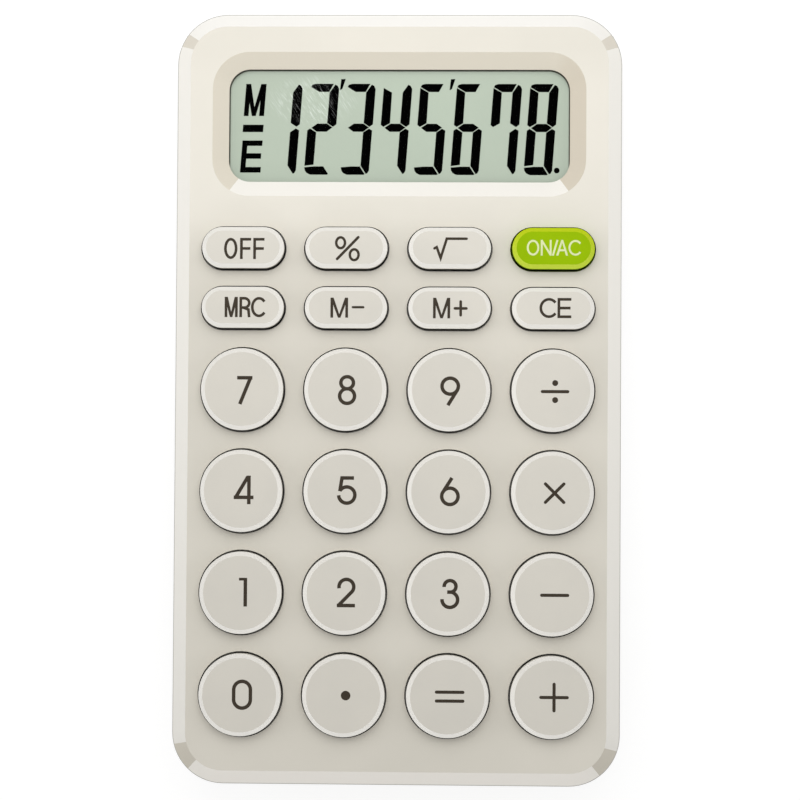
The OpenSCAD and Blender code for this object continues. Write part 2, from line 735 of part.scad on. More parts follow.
module rubber_keypad() {
    hw = board_hw - sheet_inset;
    y0 = board_y0 + sheet_inset;
    color([0.82, 0.82, 0.8]) difference() {
        union() {
            difference() {
                translate([-hw, y0, board_top]) cube([2 * hw, sheet_y1 - y0, sheet_t]);
                for (k = KEYS) translate(concat(key_at(k), [board_top - 1]))
                    cylinder(r = dome_r, h = sheet_t + 2);
            }
            for (k = KEYS) translate(key_at(k)) dome();
        }
        at_all(case_screw_at) translate([0, 0, board_top - 1])
            cylinder(d = post_d + 0.6, h = sheet_t + 2);
        at_all(board_screw_at) translate([0, 0, board_top - 1])
            cylinder(d = small_boss_d + 0.4, h = sheet_t + 2);
    }
}

// One dome: a thin cone that carries the boss under a key
module dome() {
    web_top = stem_z - 0.6;
    rotate_extrude() polygon([
        [0, boss_z], [boss_r - 0.1, boss_z], [dome_r - web_t, sheet_top - web_t],
        [dome_r - web_t, board_top + 0.3], [dome_r + 0.3, board_top + 0.3],
        [dome_r + 0.3, sheet_top], [dome_r, sheet_top],
        [boss_r, web_top], [boss_r, stem_z], [0, stem_z],
    ]);
}

module contact_pills() {
    color([0.1, 0.1, 0.1]) for (k = KEYS) translate(concat(key_at(k), [pill_z]))
        cylinder(r = pill_r, h = pill_t);
}

// ---------------------------------------------------------------- battery

module button_cell() {
    cap_r = cell_d / 2 - 0.8;
    edge = 0.3;
    can_h = cell_h - cap_h;
    color([0.8, 0.8, 0.8]) translate([0, cell_y, cell_z]) rotate_extrude()
        polygon([[0, 0], [cell_d / 2 - edge, 0], [cell_d / 2, edge], [cell_d / 2, can_h - edge],
                 [cell_d / 2 - edge, can_h], [cap_r, can_h], [cap_r, cell_h - 0.1],
                 [cap_r - 0.1, cell_h], [0, cell_h]]);
}

// A leaf that stands against the side of the cell and turns out over the well's rim
module battery_contact_positive() {
    leaf_z = plate_z + plate_t;
    color([0.75, 0.73, 0.65]) difference() {
        rotate_about_cell(270) translate([cell_d / 2, -contact_w / 2, 0]) {
            translate([0, 0, leaf_z]) cube([contact_t, contact_w, well_top + contact_t - leaf_z]);
            translate([0, 0, well_top]) cube([cell_gap + well_wall + 1, contact_w, contact_t]);
        }
        stake_holes();
    }
}

// A strip across the well that touches the middle of the cell
module battery_contact_negative() {
    reach = well_r + well_wall;
    color([0.75, 0.73, 0.65]) difference() {
        translate([-reach, cell_y - contact_w / 2, well_top])
            cube([2 * reach + 2, contact_w, contact_t]);
        stake_holes();
    }
}

module stake_holes() {
    for (a = [0, 180, 270]) rotate_about_cell(a) translate([stake_at, 0, well_top - 1])
        cylinder(d = stake_d + 0.1, h = 3);
}

// The wires run from the contacts to the underside of the board
wire_z = board_bottom - wire_d / 2;
contact_top = well_top + contact_t + wire_d / 2;
plus_y = cell_y - well_r - well_wall;
minus_x = well_r + well_wall + 1;

module wire_red() {
    color([0.75, 0.08, 0.06]) wire([
        [0, plus_y - 0.2, contact_top], [0, plus_y - 1, contact_top],
        [-0.3, plus_y - 2.2, wire_z], [-1.4, board_y1 - 3, wire_z],
        [-3.4, board_y1 - 5, wire_z], [-5, board_y1 - 7, wire_z],
        [-5, board_y1 - 9, wire_z]], wire_d);
}

module wire_black() {
    color([0.06, 0.06, 0.06]) wire([
        [minus_x, cell_y, contact_top], [minus_x + 1.4, cell_y - 1, contact_top],
        [minus_x + 1.8, cell_y - 3, wire_z], [minus_x + 1.4, cell_y - 6, wire_z],
        [minus_x, board_y1, wire_z], [minus_x - 1.6, board_y1 - 4, wire_z],
        [minus_x - 2, board_y1 - 7, wire_z]], wire_d);
}

// ---------------------------------------------------------------- keys

// A hollow cap with a bevelled top, a flange under the case and a stem on the dome
module key(k) {
    oval = is_oval(k);
    height = key_top_z - flange_z;
    width = oval ? oval_w : key_d;
    hollow_h = height - key_top_t;
    color(k[0] == "key_on_clear_all" ? [0.6, 0.78, 0.06] : [0.87, 0.85, 0.82])
        translate(concat(key_at(k), [flange_z])) {
            difference() {
                union() {
                    key_cap(oval, height);
                    key_plan(oval, flange_w, flange_t);
                }
                translate([0, 0, -eps]) key_plan(oval, -key_wall, hollow_h + eps);
            }
            translate([0, 0, stem_z - flange_z])
                cylinder(d = stem_d, h = flange_z + hollow_h - stem_z + eps);
        }
}

// The visible cap: a round one is turned, an oval one has turned ends and a straight middle
module key_cap(oval, h) {
    r = (oval ? oval_w : key_d) / 2;
    side = h - key_bevel_h;
    profile = [[0, 0], [r, 0], [r, side], [r - key_bevel_w, h], [0, h]];
    if (oval) {
        span = key_d - oval_w;
        for (s = [-1, 1]) translate([s * span / 2, 0, 0]) rotate_extrude() polygon(profile);
        rotate([90, 0, 90]) linear_extrude(span, center = true)
            polygon([[-r, 0], [r, 0], [r, side], [r - key_bevel_w, h],
                     [key_bevel_w - r, h], [-r, side]]);
    } else {
        rotate_extrude() polygon(profile);
    }
}

// ---------------------------------------------------------------- nodes

front_shell();
rear_shell();
rubber_feet();
case_screws();
battery_door();
display_lens();
lens_adhesive();
lcd_front_polarizer();
lcd_front_glass();
lcd_rear_glass();
lcd_reflector();
lcd_gasket();
lcd_frame();
lcd_frame_screws();
zebra_strip();
main_board();
board_screws();
contact_pads();
chip_blob();
ceramic_capacitors();
resistors();
rubber_keypad();
contact_pills();
button_cell();
battery_contact_positive();
battery_contact_negative();
wire_red();
wire_black();
for (k = KEYS) key(k);
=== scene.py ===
"""Looks of the desk calculator: materials, key legends, display, rubber keypad, floor and light."""
import math

import bpy
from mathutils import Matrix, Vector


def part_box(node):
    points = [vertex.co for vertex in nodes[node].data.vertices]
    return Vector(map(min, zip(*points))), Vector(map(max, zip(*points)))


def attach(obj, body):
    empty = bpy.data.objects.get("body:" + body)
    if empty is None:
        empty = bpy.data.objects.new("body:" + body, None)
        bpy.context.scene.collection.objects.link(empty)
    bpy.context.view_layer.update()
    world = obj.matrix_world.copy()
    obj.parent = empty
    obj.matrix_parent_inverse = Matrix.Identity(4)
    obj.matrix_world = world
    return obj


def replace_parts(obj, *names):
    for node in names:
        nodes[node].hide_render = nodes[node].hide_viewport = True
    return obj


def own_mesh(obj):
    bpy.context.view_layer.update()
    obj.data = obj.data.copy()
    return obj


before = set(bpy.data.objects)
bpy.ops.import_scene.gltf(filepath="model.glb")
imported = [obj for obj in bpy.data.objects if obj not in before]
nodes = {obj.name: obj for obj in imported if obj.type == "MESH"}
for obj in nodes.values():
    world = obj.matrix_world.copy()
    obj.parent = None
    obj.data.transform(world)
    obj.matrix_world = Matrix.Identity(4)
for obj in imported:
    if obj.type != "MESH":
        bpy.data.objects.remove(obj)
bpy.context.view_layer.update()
MM = 0.001
scene = bpy.context.scene


# ---------------------------------------------------------------- camera

CAMERA_AT = (7.50, -15.85, 313.40)          # mm; fitted to the key centres and edges in the photo
CAMERA_TURN = (1.297, 1.332, 0.364)         # degrees
SENSOR_WIDTH, LENS, SHIFT_Y, NEAREST = 36, 86.5, 0.07, 0.01

camera_data = bpy.data.cameras.new("camera")
camera_data.sensor_width = SENSOR_WIDTH
camera_data.lens = LENS
camera_data.shift_y = SHIFT_Y
camera_data.clip_start = NEAREST
camera = bpy.data.objects.new("camera", camera_data)
camera.location = [v * MM for v in CAMERA_AT]
camera.rotation_euler = [math.radians(v) for v in CAMERA_TURN]
scene.collection.objects.link(camera)
scene.camera = camera
scene.view_settings.view_transform = "Standard"

# ---------------------------------------------------------------- materials

# Places and depths in this section are metres in the frame, and tones are linear colours.
FACE_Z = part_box("front_shell")[1][2]        # height of the face

# Uneven surfaces: how many patches of a noise lie in a metre, and the part of its range that is used
MOTTLE_RANGE = (0.32, 0.68)
SOFT_RANGE = (0.3, 0.7)
GLOSS_PATCHES, GRAIN_PATCHES = 900, 7000
GRAIN_DEPTH, RUBBER_DEPTH = 0.00002, 0.00004

CASE = (0.735, 0.700, 0.618, 1)
CASE_TINT = (0.700, 0.668, 0.588, 1)
CASE_ROUGH, CASE_GRAIN, CASE_GLOSS = 0.45, 0.3, 0.3
PAINTED_LIGHT = (0.95, 0.92, 0.84, 1)               # painted light: the face beside the window is painted a little paler, where more light falls
PAINTED_LIGHT_SHARE, PAINTED_LIGHT_END_SHARE = 0.16, 0.4
PAINTED_LIGHT_SOUTH, PAINTED_LIGHT_NORTH = (0.022, 0.032), (0.050, 0.055)

# Slopes of the shell, painted lighter or darker by the way they face, as light falls on them. A pair of
# numbers is where one tone fades into the next, as the surface turns
SLOPE_BAND = (0.74, 0.93)                   # how far up the shell's chamfers face
SLOPE_FADE, SLOPE_FADE_TOP = 0.06, 0.04     # how softly that band begins and ends
# Painted light: the outer chamfer is painted paler than the face, most where it faces south
EDGE_SOUTH = (0.97, 0.93, 0.86, 1)
EDGE_SIDE = (0.855, 0.832, 0.775, 1)
EDGE_NORTH = (0.885, 0.868, 0.828, 1)
SOUTH_TO_SIDE, SIDE_TO_NORTH = (-0.6, -0.2), (0.2, 0.6)
# Painted reflections: a darker or paler facet at each corner of the chamfer, between these compass
# angles
CORNER_DARK = (0.635, 0.595, 0.510, 1)
CORNER_PALE = (0.685, 0.640, 0.555, 1)
CORNER_FACETS = ((142, 158, CORNER_PALE), (21, 38, CORNER_PALE), (-166, -134, CORNER_DARK),
                 (-52, -18, CORNER_DARK))
# Painted shade: a thin dark line along the foot of the outer chamfer
CHAMFER_FOOT, FOOT_TONE = 0.01208, (0.50, 0.49, 0.45, 1)
RECESS_X = 0.0300                           # the stretch that holds the display's recess
RECESS_Y = (0.0310, 0.0550)
# Painted light and shade: the recess's slopes are painted lighter or darker by the way they face
RECESS_TOP = (0.745, 0.695, 0.59, 1)
RECESS_SIDE = (0.68, 0.63, 0.53, 1)
RECESS_EAST = (0.615, 0.555, 0.455, 1)
RECESS_BOTTOM = (0.845, 0.820, 0.765, 1)
EAST_TO_SIDE, TOP_TO_SIDE = (-0.3, -0.1), (-0.9, -0.2)
BRIGHT_SLOPE = (58, 122)                    # degrees; the slope at the recess's south side, which is painted lighter

# Painted shade: the face and the key tops are painted darker over the upper keys, where shade falls
# between the keys, and least on the east side
PAINTED_SHADE_TONE = (0.367, 0.350, 0.309, 1)
SHADE_NORTH, SHADE_SOUTH, SHADE_EAST = (0.0215, 0.0285), (-0.025, 0.005), (0.006, 0.020)
SHADE_SOUTH_SHARE, SHADE_EAST_SHARE = 0.45, 0.5
CASE_SHADE, KEY_SHADE = 0.16, 0.105

# Painted shade: the walls in the narrow gap between a key and its hole are painted dark
KEY_FIELD_X, KEY_FIELD_Y = 0.0315, 0.054    # the holes for the keys lie inside this
WALL_TILT = 0.35                            # a wall's normal points up or down by less than this
GAP_SHADE = (0.012, 0.011, 0.009, 1)
GAP_SOUTH = 0.0004                          # painted shade reaches this much further up on walls that face south
HOLE_GAP = (FACE_Z - 0.0001, FACE_Z)        # walls are painted quite dark below the first height
KEY_GAP = (FACE_Z, FACE_Z + 0.0005)

KEY = (0.700, 0.668, 0.596, 1)
KEY_TINT = (0.668, 0.640, 0.574, 1)
GREEN = (0.305, 0.490, 0.001, 1)
GREEN_TINT = (0.275, 0.45, 0.001, 1)
KEY_BAND, KEY_FADE, KEY_FADE_TOP = (0.72, 0.9), 0.1, 0.04      # as SLOPE_BAND, for a key's rim
# Painted light: the rims of the keys are painted paler, most where they face south
RING_SOUTH = (0.86, 0.84, 0.79, 1)
RING_NORTH = (0.76, 0.737, 0.685, 1)
GREEN_SOUTH = (0.56, 0.70, 0.06, 1)
GREEN_NORTH = (0.46, 0.57, 0.011, 1)
RING_TURN = (-0.5, 0.5)
RING_PALER, RING_PALER_Y = 1.13, (-0.050, 0.025)    # painted light: the south rims of the southern keys are painted paler still

# The scratched patch of the lens
SCRATCH_AT, SCRATCH_REACH = (-0.0138, 0.0470), (0.0078, 0.0042)
# The second number is how strongly a painted sheen of the scratches is laid on the display's face below
SCRATCH_DEPTH, SCRATCH_SHEEN_SHARE = 0.15, 0.8
SCRATCH_TURN, SCRATCH_FINE, SCRATCH_LONG = math.radians(34), 0.00012, 0.0022
SCRATCH_RANGE, SCRATCH_EDGE = (0.54, 0.66), (0.2, 1.0)     # EDGE: squared share of the reach
SCRATCH_TONE = (0.95, 0.97, 0.95, 1)
LENS_TONE, LENS_ALPHA, LENS_GLOSS = (0.02, 0.022, 0.02, 1), 0.02, 0.03

# Painted light: the display's face is painted paler close to the edges of the window, where they shade
# it, and paler under the lens's scratches, a painted sheen
FILM = (0.489, 0.562, 0.460, 1)
FILM_TINT = (0.468, 0.534, 0.440, 1)
FILM_SCRATCH_SHEEN = (0.80, 0.88, 0.80, 1)
FILM_PALE = (0.80, 0.90, 0.76, 1)
FILM_TOP, FILM_TOP_FADE, FILM_TOP_SHARE = 0.0519, 0.0006, 0.4
FILM_SIDE, FILM_SIDE_FADE, FILM_SIDE_SHARE = 0.0269, 0.0008, 0.2

# The board's copper tracks, which bend every TRACK_TURN metres, and the layers of the zebra strip
MASK = (0.012, 0.11, 0.035, 1)
MASK_TINT = (0.010, 0.09, 0.03, 1)
TRACK_TONE = (0.03, 0.2, 0.06, 1)
TRACK_TURN, TRACK_LEAN, TRACK_WAVE, TRACK_WIDTH = 0.004, 0.8, 2600, 0.55
LAYER_WAVE = 25000
LAYER_RED, LAYER_BLACK = (0.62, 0.3, 0.3, 1), (0.03, 0.03, 0.03, 1)


def shade_of(tone, share):
    """The same colour, darker or paler."""
    return tuple(min(1, share * v) for v in tone[:3]) + (1,)


class Mat:
    """A Principled material with small helpers for its procedural detail."""

    def __init__(self, name, rough, metal=0.0):
        self.mat = bpy.data.materials.new(name)
        self.mat.use_nodes = True
        self.tree = self.mat.node_tree
        self.tree.nodes.clear()
        self.out = self.tree.nodes.new("ShaderNodeOutputMaterial")
        self.bsdf = self.tree.nodes.new("ShaderNodeBsdfPrincipled")
        self.tree.links.new(self.bsdf.outputs[0], self.out.inputs[0])
        self.set("Roughness", rough)
        self.set("Metallic", metal)
        self.coord = self.tree.nodes.new("ShaderNodeTexCoord")
        self.normal = None

    def set(self, socket, value):
        self.bsdf.inputs[socket].default_value = value

    def link(self, a, b):
        self.tree.links.new(a, b)

    def noise(self, scale, detail=3.0):
        n = self.tree.nodes.new("ShaderNodeTexNoise")
        n.inputs["Scale"].default_value = scale
        n.inputs["Detail"].default_value = detail
        n.inputs["Roughness"].default_value = 0.55
        self.link(self.coord.outputs["Object"], n.inputs["Vector"])
        return n.outputs["Fac"]

    def remap(self, value, lo, hi, out_lo=0.0, out_hi=1.0):
        n = self.tree.nodes.new("ShaderNodeMapRange")
        for i, v in enumerate((lo, hi, out_lo, out_hi)):
            n.inputs[i + 1].default_value = v
        self.link(value, n.inputs[0])
        return n.outputs[0]

    def math(self, op, a, b=0.0):
        n = self.tree.nodes.new("ShaderNodeMath")
        n.operation = op
        for i, v in enumerate((a, b)):
            if isinstance(v, (int, float)):
                n.inputs[i].default_value = v
            else:
                self.link(v, n.inputs[i])
        return n.outputs[0]

    def mix(self, fac, a, b):
        n = self.tree.nodes.new("ShaderNodeMix")
        n.data_type = "RGBA"
        sockets = [s for s in n.inputs if s.enabled]
        for s, v in zip(sockets, (fac, a, b)):
            if isinstance(v, (int, float, tuple)):
                s.default_value = v
            else:
                self.link(v, s)
        return [s for s in n.outputs if s.enabled][0]

    def color(self, socket):
        self.link(socket, self.bsdf.inputs["Base Color"])

    def rough(self, socket):
        self.link(socket, self.bsdf.inputs["Roughness"])

    def bump(self, height, strength, distance):
        n = self.tree.nodes.new("ShaderNodeBump")
        n.inputs["Strength"].default_value = strength
        n.inputs["Distance"].default_value = distance
        self.link(height, n.inputs["Height"])
        if self.normal is not None:
            self.link(self.normal, n.inputs["Normal"])
        self.normal = n.outputs[0]
        self.link(self.normal, self.bsdf.inputs["Normal"])

    def facing(self, axis):
        """One part of the object's own normal: Z is 1 on top and 0 on a wall, Y is 1 facing north."""
        n = self.tree.nodes.new("ShaderNodeSeparateXYZ")
        self.link(self.coord.outputs["Normal"], n.inputs[0])
        return n.outputs[axis]

    def both(self, a, b):
        return self.math("MULTIPLY", a, b)

    def between(self, value, lo, hi):
        return self.both(self.math("GREATER_THAN", value, lo), self.math("LESS_THAN", value, hi))

    def sector(self, lo, hi):
        """Where the surface faces between two compass angles, anticlockwise from east."""
        turn = self.math("ARCTAN2", self.facing("Y"), self.facing("X"))
        return self.between(turn, math.radians(lo), math.radians(hi))

    def place(self, axis):
        n = self.tree.nodes.new("ShaderNodeSeparateXYZ")
        self.link(self.coord.outputs["Object"], n.inputs[0])
        return n.outputs[axis]


def shade_walls(m, shade, z0, z1):
    """Painted shade: upright walls are painted darker towards the bottom of the narrow gap between a
    key and its hole.
    """
    wall = m.math("LESS_THAN", m.math("ABSOLUTE", m.facing("Z")), WALL_TILT)
    lit = m.math("MULTIPLY", m.facing("Y"), GAP_SOUTH)
    height = m.math("ADD", m.place("Z"), lit)
    return m.mix(m.both(wall, m.remap(height, z0, z1, 1.0, 0.0)), shade, GAP_SHADE)


def painted_shade(m, shade, depth):
    """Painted shade: plastic painted darker over the upper keys, where shade falls between them."""
    shaded = m.both(m.remap(m.place("Y"), *SHADE_NORTH, 1.0, 0.0),
                  m.remap(m.place("Y"), *SHADE_SOUTH, SHADE_SOUTH_SHARE, 1.0))
    shaded = m.both(shaded, m.remap(m.place("X"), *SHADE_EAST, 1.0, SHADE_EAST_SHARE))
    return m.mix(m.remap(shaded, 0.0, 1.0, 0.0, depth), shade, PAINTED_SHADE_TONE)


def mottled(m, patches, base, tint, band=SOFT_RANGE, detail=4):
    """Two close tones in soft patches."""
    return m.mix(m.remap(m.noise(patches, detail), *band), base, tint)


def uneven_gloss(m, patches, smooth, dull):
    m.rough(m.remap(m.noise(patches, 2), *SOFT_RANGE, smooth, dull))


def moulded(m, rough, gloss, grain):
    """The surface of moulded plastic: its gloss and its fine grain."""
    m.set("Specular IOR Level", gloss)
    uneven_gloss(m, GLOSS_PATCHES, rough - 0.05, rough + 0.06)
    m.bump(m.noise(GRAIN_PATCHES, 2), grain, GRAIN_DEPTH)


def plastic(name, base, tint, rough=0.42, grain=0.25, mottle=55.0, gloss=0.5):
    """Plain moulded plastic."""
    m = Mat(name, rough)
    m.color(mottled(m, mottle, base, tint, MOTTLE_RANGE))
    moulded(m, rough, gloss, grain)
    return m


def key_material(name, base, tint, rough, gloss, edge, edge_north, shade_depth):
    """A key. Painted light and shade: its rims are painted a lighter tone, edge where they face south
    and edge_north on the other side; its top is painted darker over the upper keys, and its walls
    darker in the gap.
    """
    m = Mat(name, rough)
    shade = painted_shade(m, mottled(m, 110, base, tint, MOTTLE_RANGE), shade_depth)
    up = m.facing("Z")
    slope = m.both(m.remap(up, KEY_BAND[0] - KEY_FADE, KEY_BAND[0]),
                   m.remap(up, KEY_BAND[1] + KEY_FADE_TOP, KEY_BAND[1]))
    south = m.mix(m.remap(m.place("Y"), *RING_PALER_Y), shade_of(edge, RING_PALER), edge)
    tone = m.mix(m.remap(m.facing("Y"), *RING_TURN), south, edge_north)
    m.color(shade_walls(m, m.mix(slope, shade, tone), *KEY_GAP))
    moulded(m, rough, gloss, 0.22)
    return m


def shell_material():
    """The front shell: cream, with painted light and shade: paler beside the window, darker over the
    keys, a paler chamfer with a darker or paler painted reflection at each corner, and a warm recess
    whose slopes are painted by the way they face.
    """
    m = Mat("case_front", CASE_ROUGH)
    face = painted_shade(m, mottled(m, 55, CASE, CASE_TINT, MOTTLE_RANGE), CASE_SHADE)
    # Painted light: the face is painted paler beside the window
    painted_light = m.both(m.remap(m.place("Y"), *PAINTED_LIGHT_SOUTH, 0.0, PAINTED_LIGHT_SHARE),
                   m.remap(m.place("Y"), *PAINTED_LIGHT_NORTH, 1.0, PAINTED_LIGHT_END_SHARE))
    face = m.mix(painted_light, face, PAINTED_LIGHT)
    up = m.facing("Z")
    slope = m.both(m.remap(up, SLOPE_BAND[0] - SLOPE_FADE, SLOPE_BAND[0]),
                   m.remap(up, SLOPE_BAND[1] + SLOPE_FADE_TOP, SLOPE_BAND[1]))
    in_recess = m.both(m.between(m.place("X"), -RECESS_X, RECESS_X), m.between(m.place("Y"), *RECESS_Y))
    outer = m.mix(m.remap(m.facing("Y"), *SOUTH_TO_SIDE), EDGE_SOUTH, EDGE_SIDE)
    outer = m.mix(m.remap(m.facing("Y"), *SIDE_TO_NORTH), outer, EDGE_NORTH)
    for lo, hi, tone in CORNER_FACETS:
        outer = m.mix(m.sector(lo, hi), outer, tone)
    foot = m.both(slope, m.math("LESS_THAN", m.place("Z"), CHAMFER_FOOT))
    outer = m.mix(foot, outer, FOOT_TONE)
    inner = m.mix(m.remap(m.facing("X"), *EAST_TO_SIDE), RECESS_EAST, RECESS_SIDE)
    inner = m.mix(m.remap(m.facing("Y"), *TOP_TO_SIDE), RECESS_TOP, inner)
    inner = m.mix(m.sector(*BRIGHT_SLOPE), inner, RECESS_BOTTOM)
    shade = m.mix(slope, face, m.mix(in_recess, outer, inner))
    field = m.both(m.between(m.place("X"), -KEY_FIELD_X, KEY_FIELD_X),
                   m.between(m.place("Y"), -KEY_FIELD_Y, KEY_FIELD_Y))
    m.color(m.mix(field, shade, shade_walls(m, shade, *HOLE_GAP)))
    moulded(m, CASE_ROUGH, CASE_GLOSS, CASE_GRAIN)
    return m


def scratches(m):
    """Fine slanting scratches in an oval patch over the first digits: 1 in a scratch, 0 beside it."""
    turn = m.tree.nodes.new("ShaderNodeMapping")
    turn.vector_type = "TEXTURE"
    turn.inputs["Rotation"].default_value = (0, 0, SCRATCH_TURN)
    turn.inputs["Scale"].default_value = (SCRATCH_FINE, SCRATCH_LONG, SCRATCH_LONG)
    m.link(m.coord.outputs["Object"], turn.inputs["Vector"])
    streaks = m.tree.nodes.new("ShaderNodeTexNoise")
    streaks.inputs["Scale"].default_value = 1.0
    streaks.inputs["Detail"].default_value = 2.0
    m.link(turn.outputs[0], streaks.inputs["Vector"])
    dx = m.math("DIVIDE", m.math("SUBTRACT", m.place("X"), SCRATCH_AT[0]), SCRATCH_REACH[0])
    dy = m.math("DIVIDE", m.math("SUBTRACT", m.place("Y"), SCRATCH_AT[1]), SCRATCH_REACH[1])
    far = m.math("ADD", m.math("MULTIPLY", dx, dx), m.math("MULTIPLY", dy, dy))
    on_top = m.math("GREATER_THAN", m.facing("Z"), 0.5)
    patch = m.both(m.remap(far, *SCRATCH_EDGE, 1.0, 0.0), on_top)
    return m.both(patch, m.remap(streaks.outputs["Fac"], *SCRATCH_RANGE))


def lens_material():
    """Clear plastic with the scratches as pale lines."""
    m = Mat("display_lens", 0.12)
    scratch = scratches(m)
    m.color(m.mix(scratch, LENS_TONE, SCRATCH_TONE))
    m.link(m.remap(scratch, 0.0, 1.0, LENS_ALPHA, SCRATCH_DEPTH), m.bsdf.inputs["Alpha"])
    m.set("Specular IOR Level", LENS_GLOSS)
    uneven_gloss(m, 700, 0.10, 0.16)
    return m


def film_material():
    """The display's grey-green face, painted paler near the window's edges against their shade, and
    with a painted sheen under the lens's scratches.
    """
    m = Mat("polarizer", 0.5)
    m.set("Specular IOR Level", 0.1)
    tone = mottled(m, 45, FILM, FILM_TINT, detail=3)
    from_top = m.remap(m.place("Y"), FILM_TOP - FILM_TOP_FADE, FILM_TOP, 0.0, FILM_TOP_SHARE)
    from_side = m.remap(m.math("ABSOLUTE", m.place("X")), FILM_SIDE - FILM_SIDE_FADE, FILM_SIDE, 0.0,
                        FILM_SIDE_SHARE)
    # Painted highlight: the face is painted paler under the lens's scratches
    tone = m.mix(m.remap(scratches(m), 0.0, 1.0, 0.0, SCRATCH_SHEEN_SHARE), tone, FILM_SCRATCH_SHEEN)
    m.color(m.mix(m.math("MAXIMUM", from_top, from_side), tone, FILM_PALE))
    m.bump(m.noise(6000, 2), 0.1, 0.00001)
    return m


def metal(name, base, rough, streak=1200.0):
    m = Mat(name, rough, 1.0)
    m.color(mottled(m, streak, base, shade_of(base, 0.82), detail=3))
    uneven_gloss(m, streak * 0.4, rough - 0.06, rough + 0.1)
    m.bump(m.noise(streak * 3, 2), 0.15, GRAIN_DEPTH)
    return m


def rubber(name, base, rough=0.75, gloss=0.5):
    m = Mat(name, rough)
    m.set("Specular IOR Level", gloss)
    m.color(mottled(m, 160, base, shade_of(base, 0.85)))
    uneven_gloss(m, 1500, rough - 0.1, rough + 0.08)
    m.bump(m.noise(5200, 3), 0.4, RUBBER_DEPTH)
    return m


def clear(name, tint, alpha, rough):
    """A clear sheet: see-through, with a faint tint and its gloss."""
    m = Mat(name, rough)
    m.color(mottled(m, 90, tint, shade_of(tint, 0.93), (0.35, 0.65), 3))
    m.set("Alpha", alpha)
    m.set("Specular IOR Level", 0.5)
    uneven_gloss(m, 700, rough, rough + 0.04)
    return m


case_front = shell_material()
case_rear = plastic("case_rear", CASE_TINT, shade_of(CASE_TINT, 0.95), rough=0.5, grain=0.5)
key_plastic = key_material("key_plastic", KEY, KEY_TINT, 0.38, 0.3, RING_SOUTH, RING_NORTH, KEY_SHADE)
key_green = key_material("key_green", GREEN, GREEN_TINT, 0.4, 0.03, GREEN_SOUTH, GREEN_NORTH, 0.0)
foot_rubber = rubber("foot_rubber", (0.022, 0.022, 0.023, 1))
screw_steel = metal("screw_steel", (0.62, 0.62, 0.64, 1), 0.3)
cell_steel = metal("cell_steel", (0.72, 0.72, 0.73, 1), 0.22, 500)
contact_metal = metal("contact_metal", (0.70, 0.66, 0.55, 1), 0.28)
adhesive = rubber("adhesive", (0.03, 0.032, 0.03, 1), 0.6)
gasket = rubber("gasket", (0.02, 0.021, 0.02, 1), 0.85)
frame_plastic = plastic("frame_plastic", (0.72, 0.72, 0.70, 1), (0.68, 0.68, 0.66, 1), rough=0.5)
silicone = rubber("silicone", (0.045, 0.044, 0.04, 1), 0.6)
carbon_rubber = rubber("carbon_rubber", (0.012, 0.012, 0.012, 1), 0.7)
epoxy = rubber("epoxy", (0.008, 0.008, 0.009, 1), 0.25)
wire_red = rubber("wire_red", (0.48, 0.012, 0.008, 1), 0.45)
wire_black = rubber("wire_black", (0.01, 0.01, 0.011, 1), 0.45)
legend_ink = rubber("legend_ink", (0.050, 0.039, 0.027, 1), 0.6, gloss=0.1)
legend_white = rubber("legend_white", (0.76, 0.82, 0.46, 1), 0.5, gloss=0.1)
lcd_ink = rubber("lcd_ink", (0.0006, 0.0006, 0.0006, 1), 0.8, gloss=0.0)
# Painted shade: the dark line round the window
window_shade = rubber("window_shade", (0.10, 0.105, 0.08, 1), 0.5, gloss=0.1)

lens_clear = lens_material()
glass_clear = clear("lcd_glass", (0.10, 0.12, 0.10, 1), 0.04, 0.1)

film = film_material()
reflector = metal("lcd_reflector", (0.7, 0.72, 0.68, 1), 0.35, 4000)


def board_material():
    """Green solder mask with copper tracks that show through it."""
    m = Mat("board", 0.35)
    lean = m.math("MULTIPLY", m.math("PINGPONG", m.place("X"), TRACK_TURN), TRACK_LEAN)
    wave = m.math("SINE", m.math("MULTIPLY", m.math("ADD", m.place("Y"), lean), TRACK_WAVE))
    zones = m.math("GREATER_THAN", m.noise(60, 1), 0.5)
    tracks = m.both(m.math("GREATER_THAN", wave, TRACK_WIDTH), zones)
    m.color(m.mix(tracks, mottled(m, 200, MASK, MASK_TINT, detail=3), TRACK_TONE))
    m.bump(tracks, 0.3, 0.00003)
    return m


def zebra_material():
    """Thin layers of rubber that conduct and rubber that does not, in turn."""
    m = Mat("zebra_rubber", 0.6)
    wave = m.math("SINE", m.math("MULTIPLY", m.place("X"), LAYER_WAVE))
    m.color(m.mix(m.math("GREATER_THAN", wave, 0.0), LAYER_RED, LAYER_BLACK))
    m.bump(m.noise(3000), 0.2, GRAIN_DEPTH)
    return m


board = board_material()
carbon_print = rubber("carbon_print", (0.02, 0.02, 0.021, 1), 0.55)
ceramic = plastic("ceramic", (0.42, 0.30, 0.18, 1), (0.36, 0.26, 0.16, 1), rough=0.4, mottle=900)
resistor_body = plastic("resistor_body", (0.012, 0.013, 0.016, 1), (0.02, 0.02, 0.024, 1), rough=0.4,
                        mottle=900)
zebra_rubber = zebra_material()

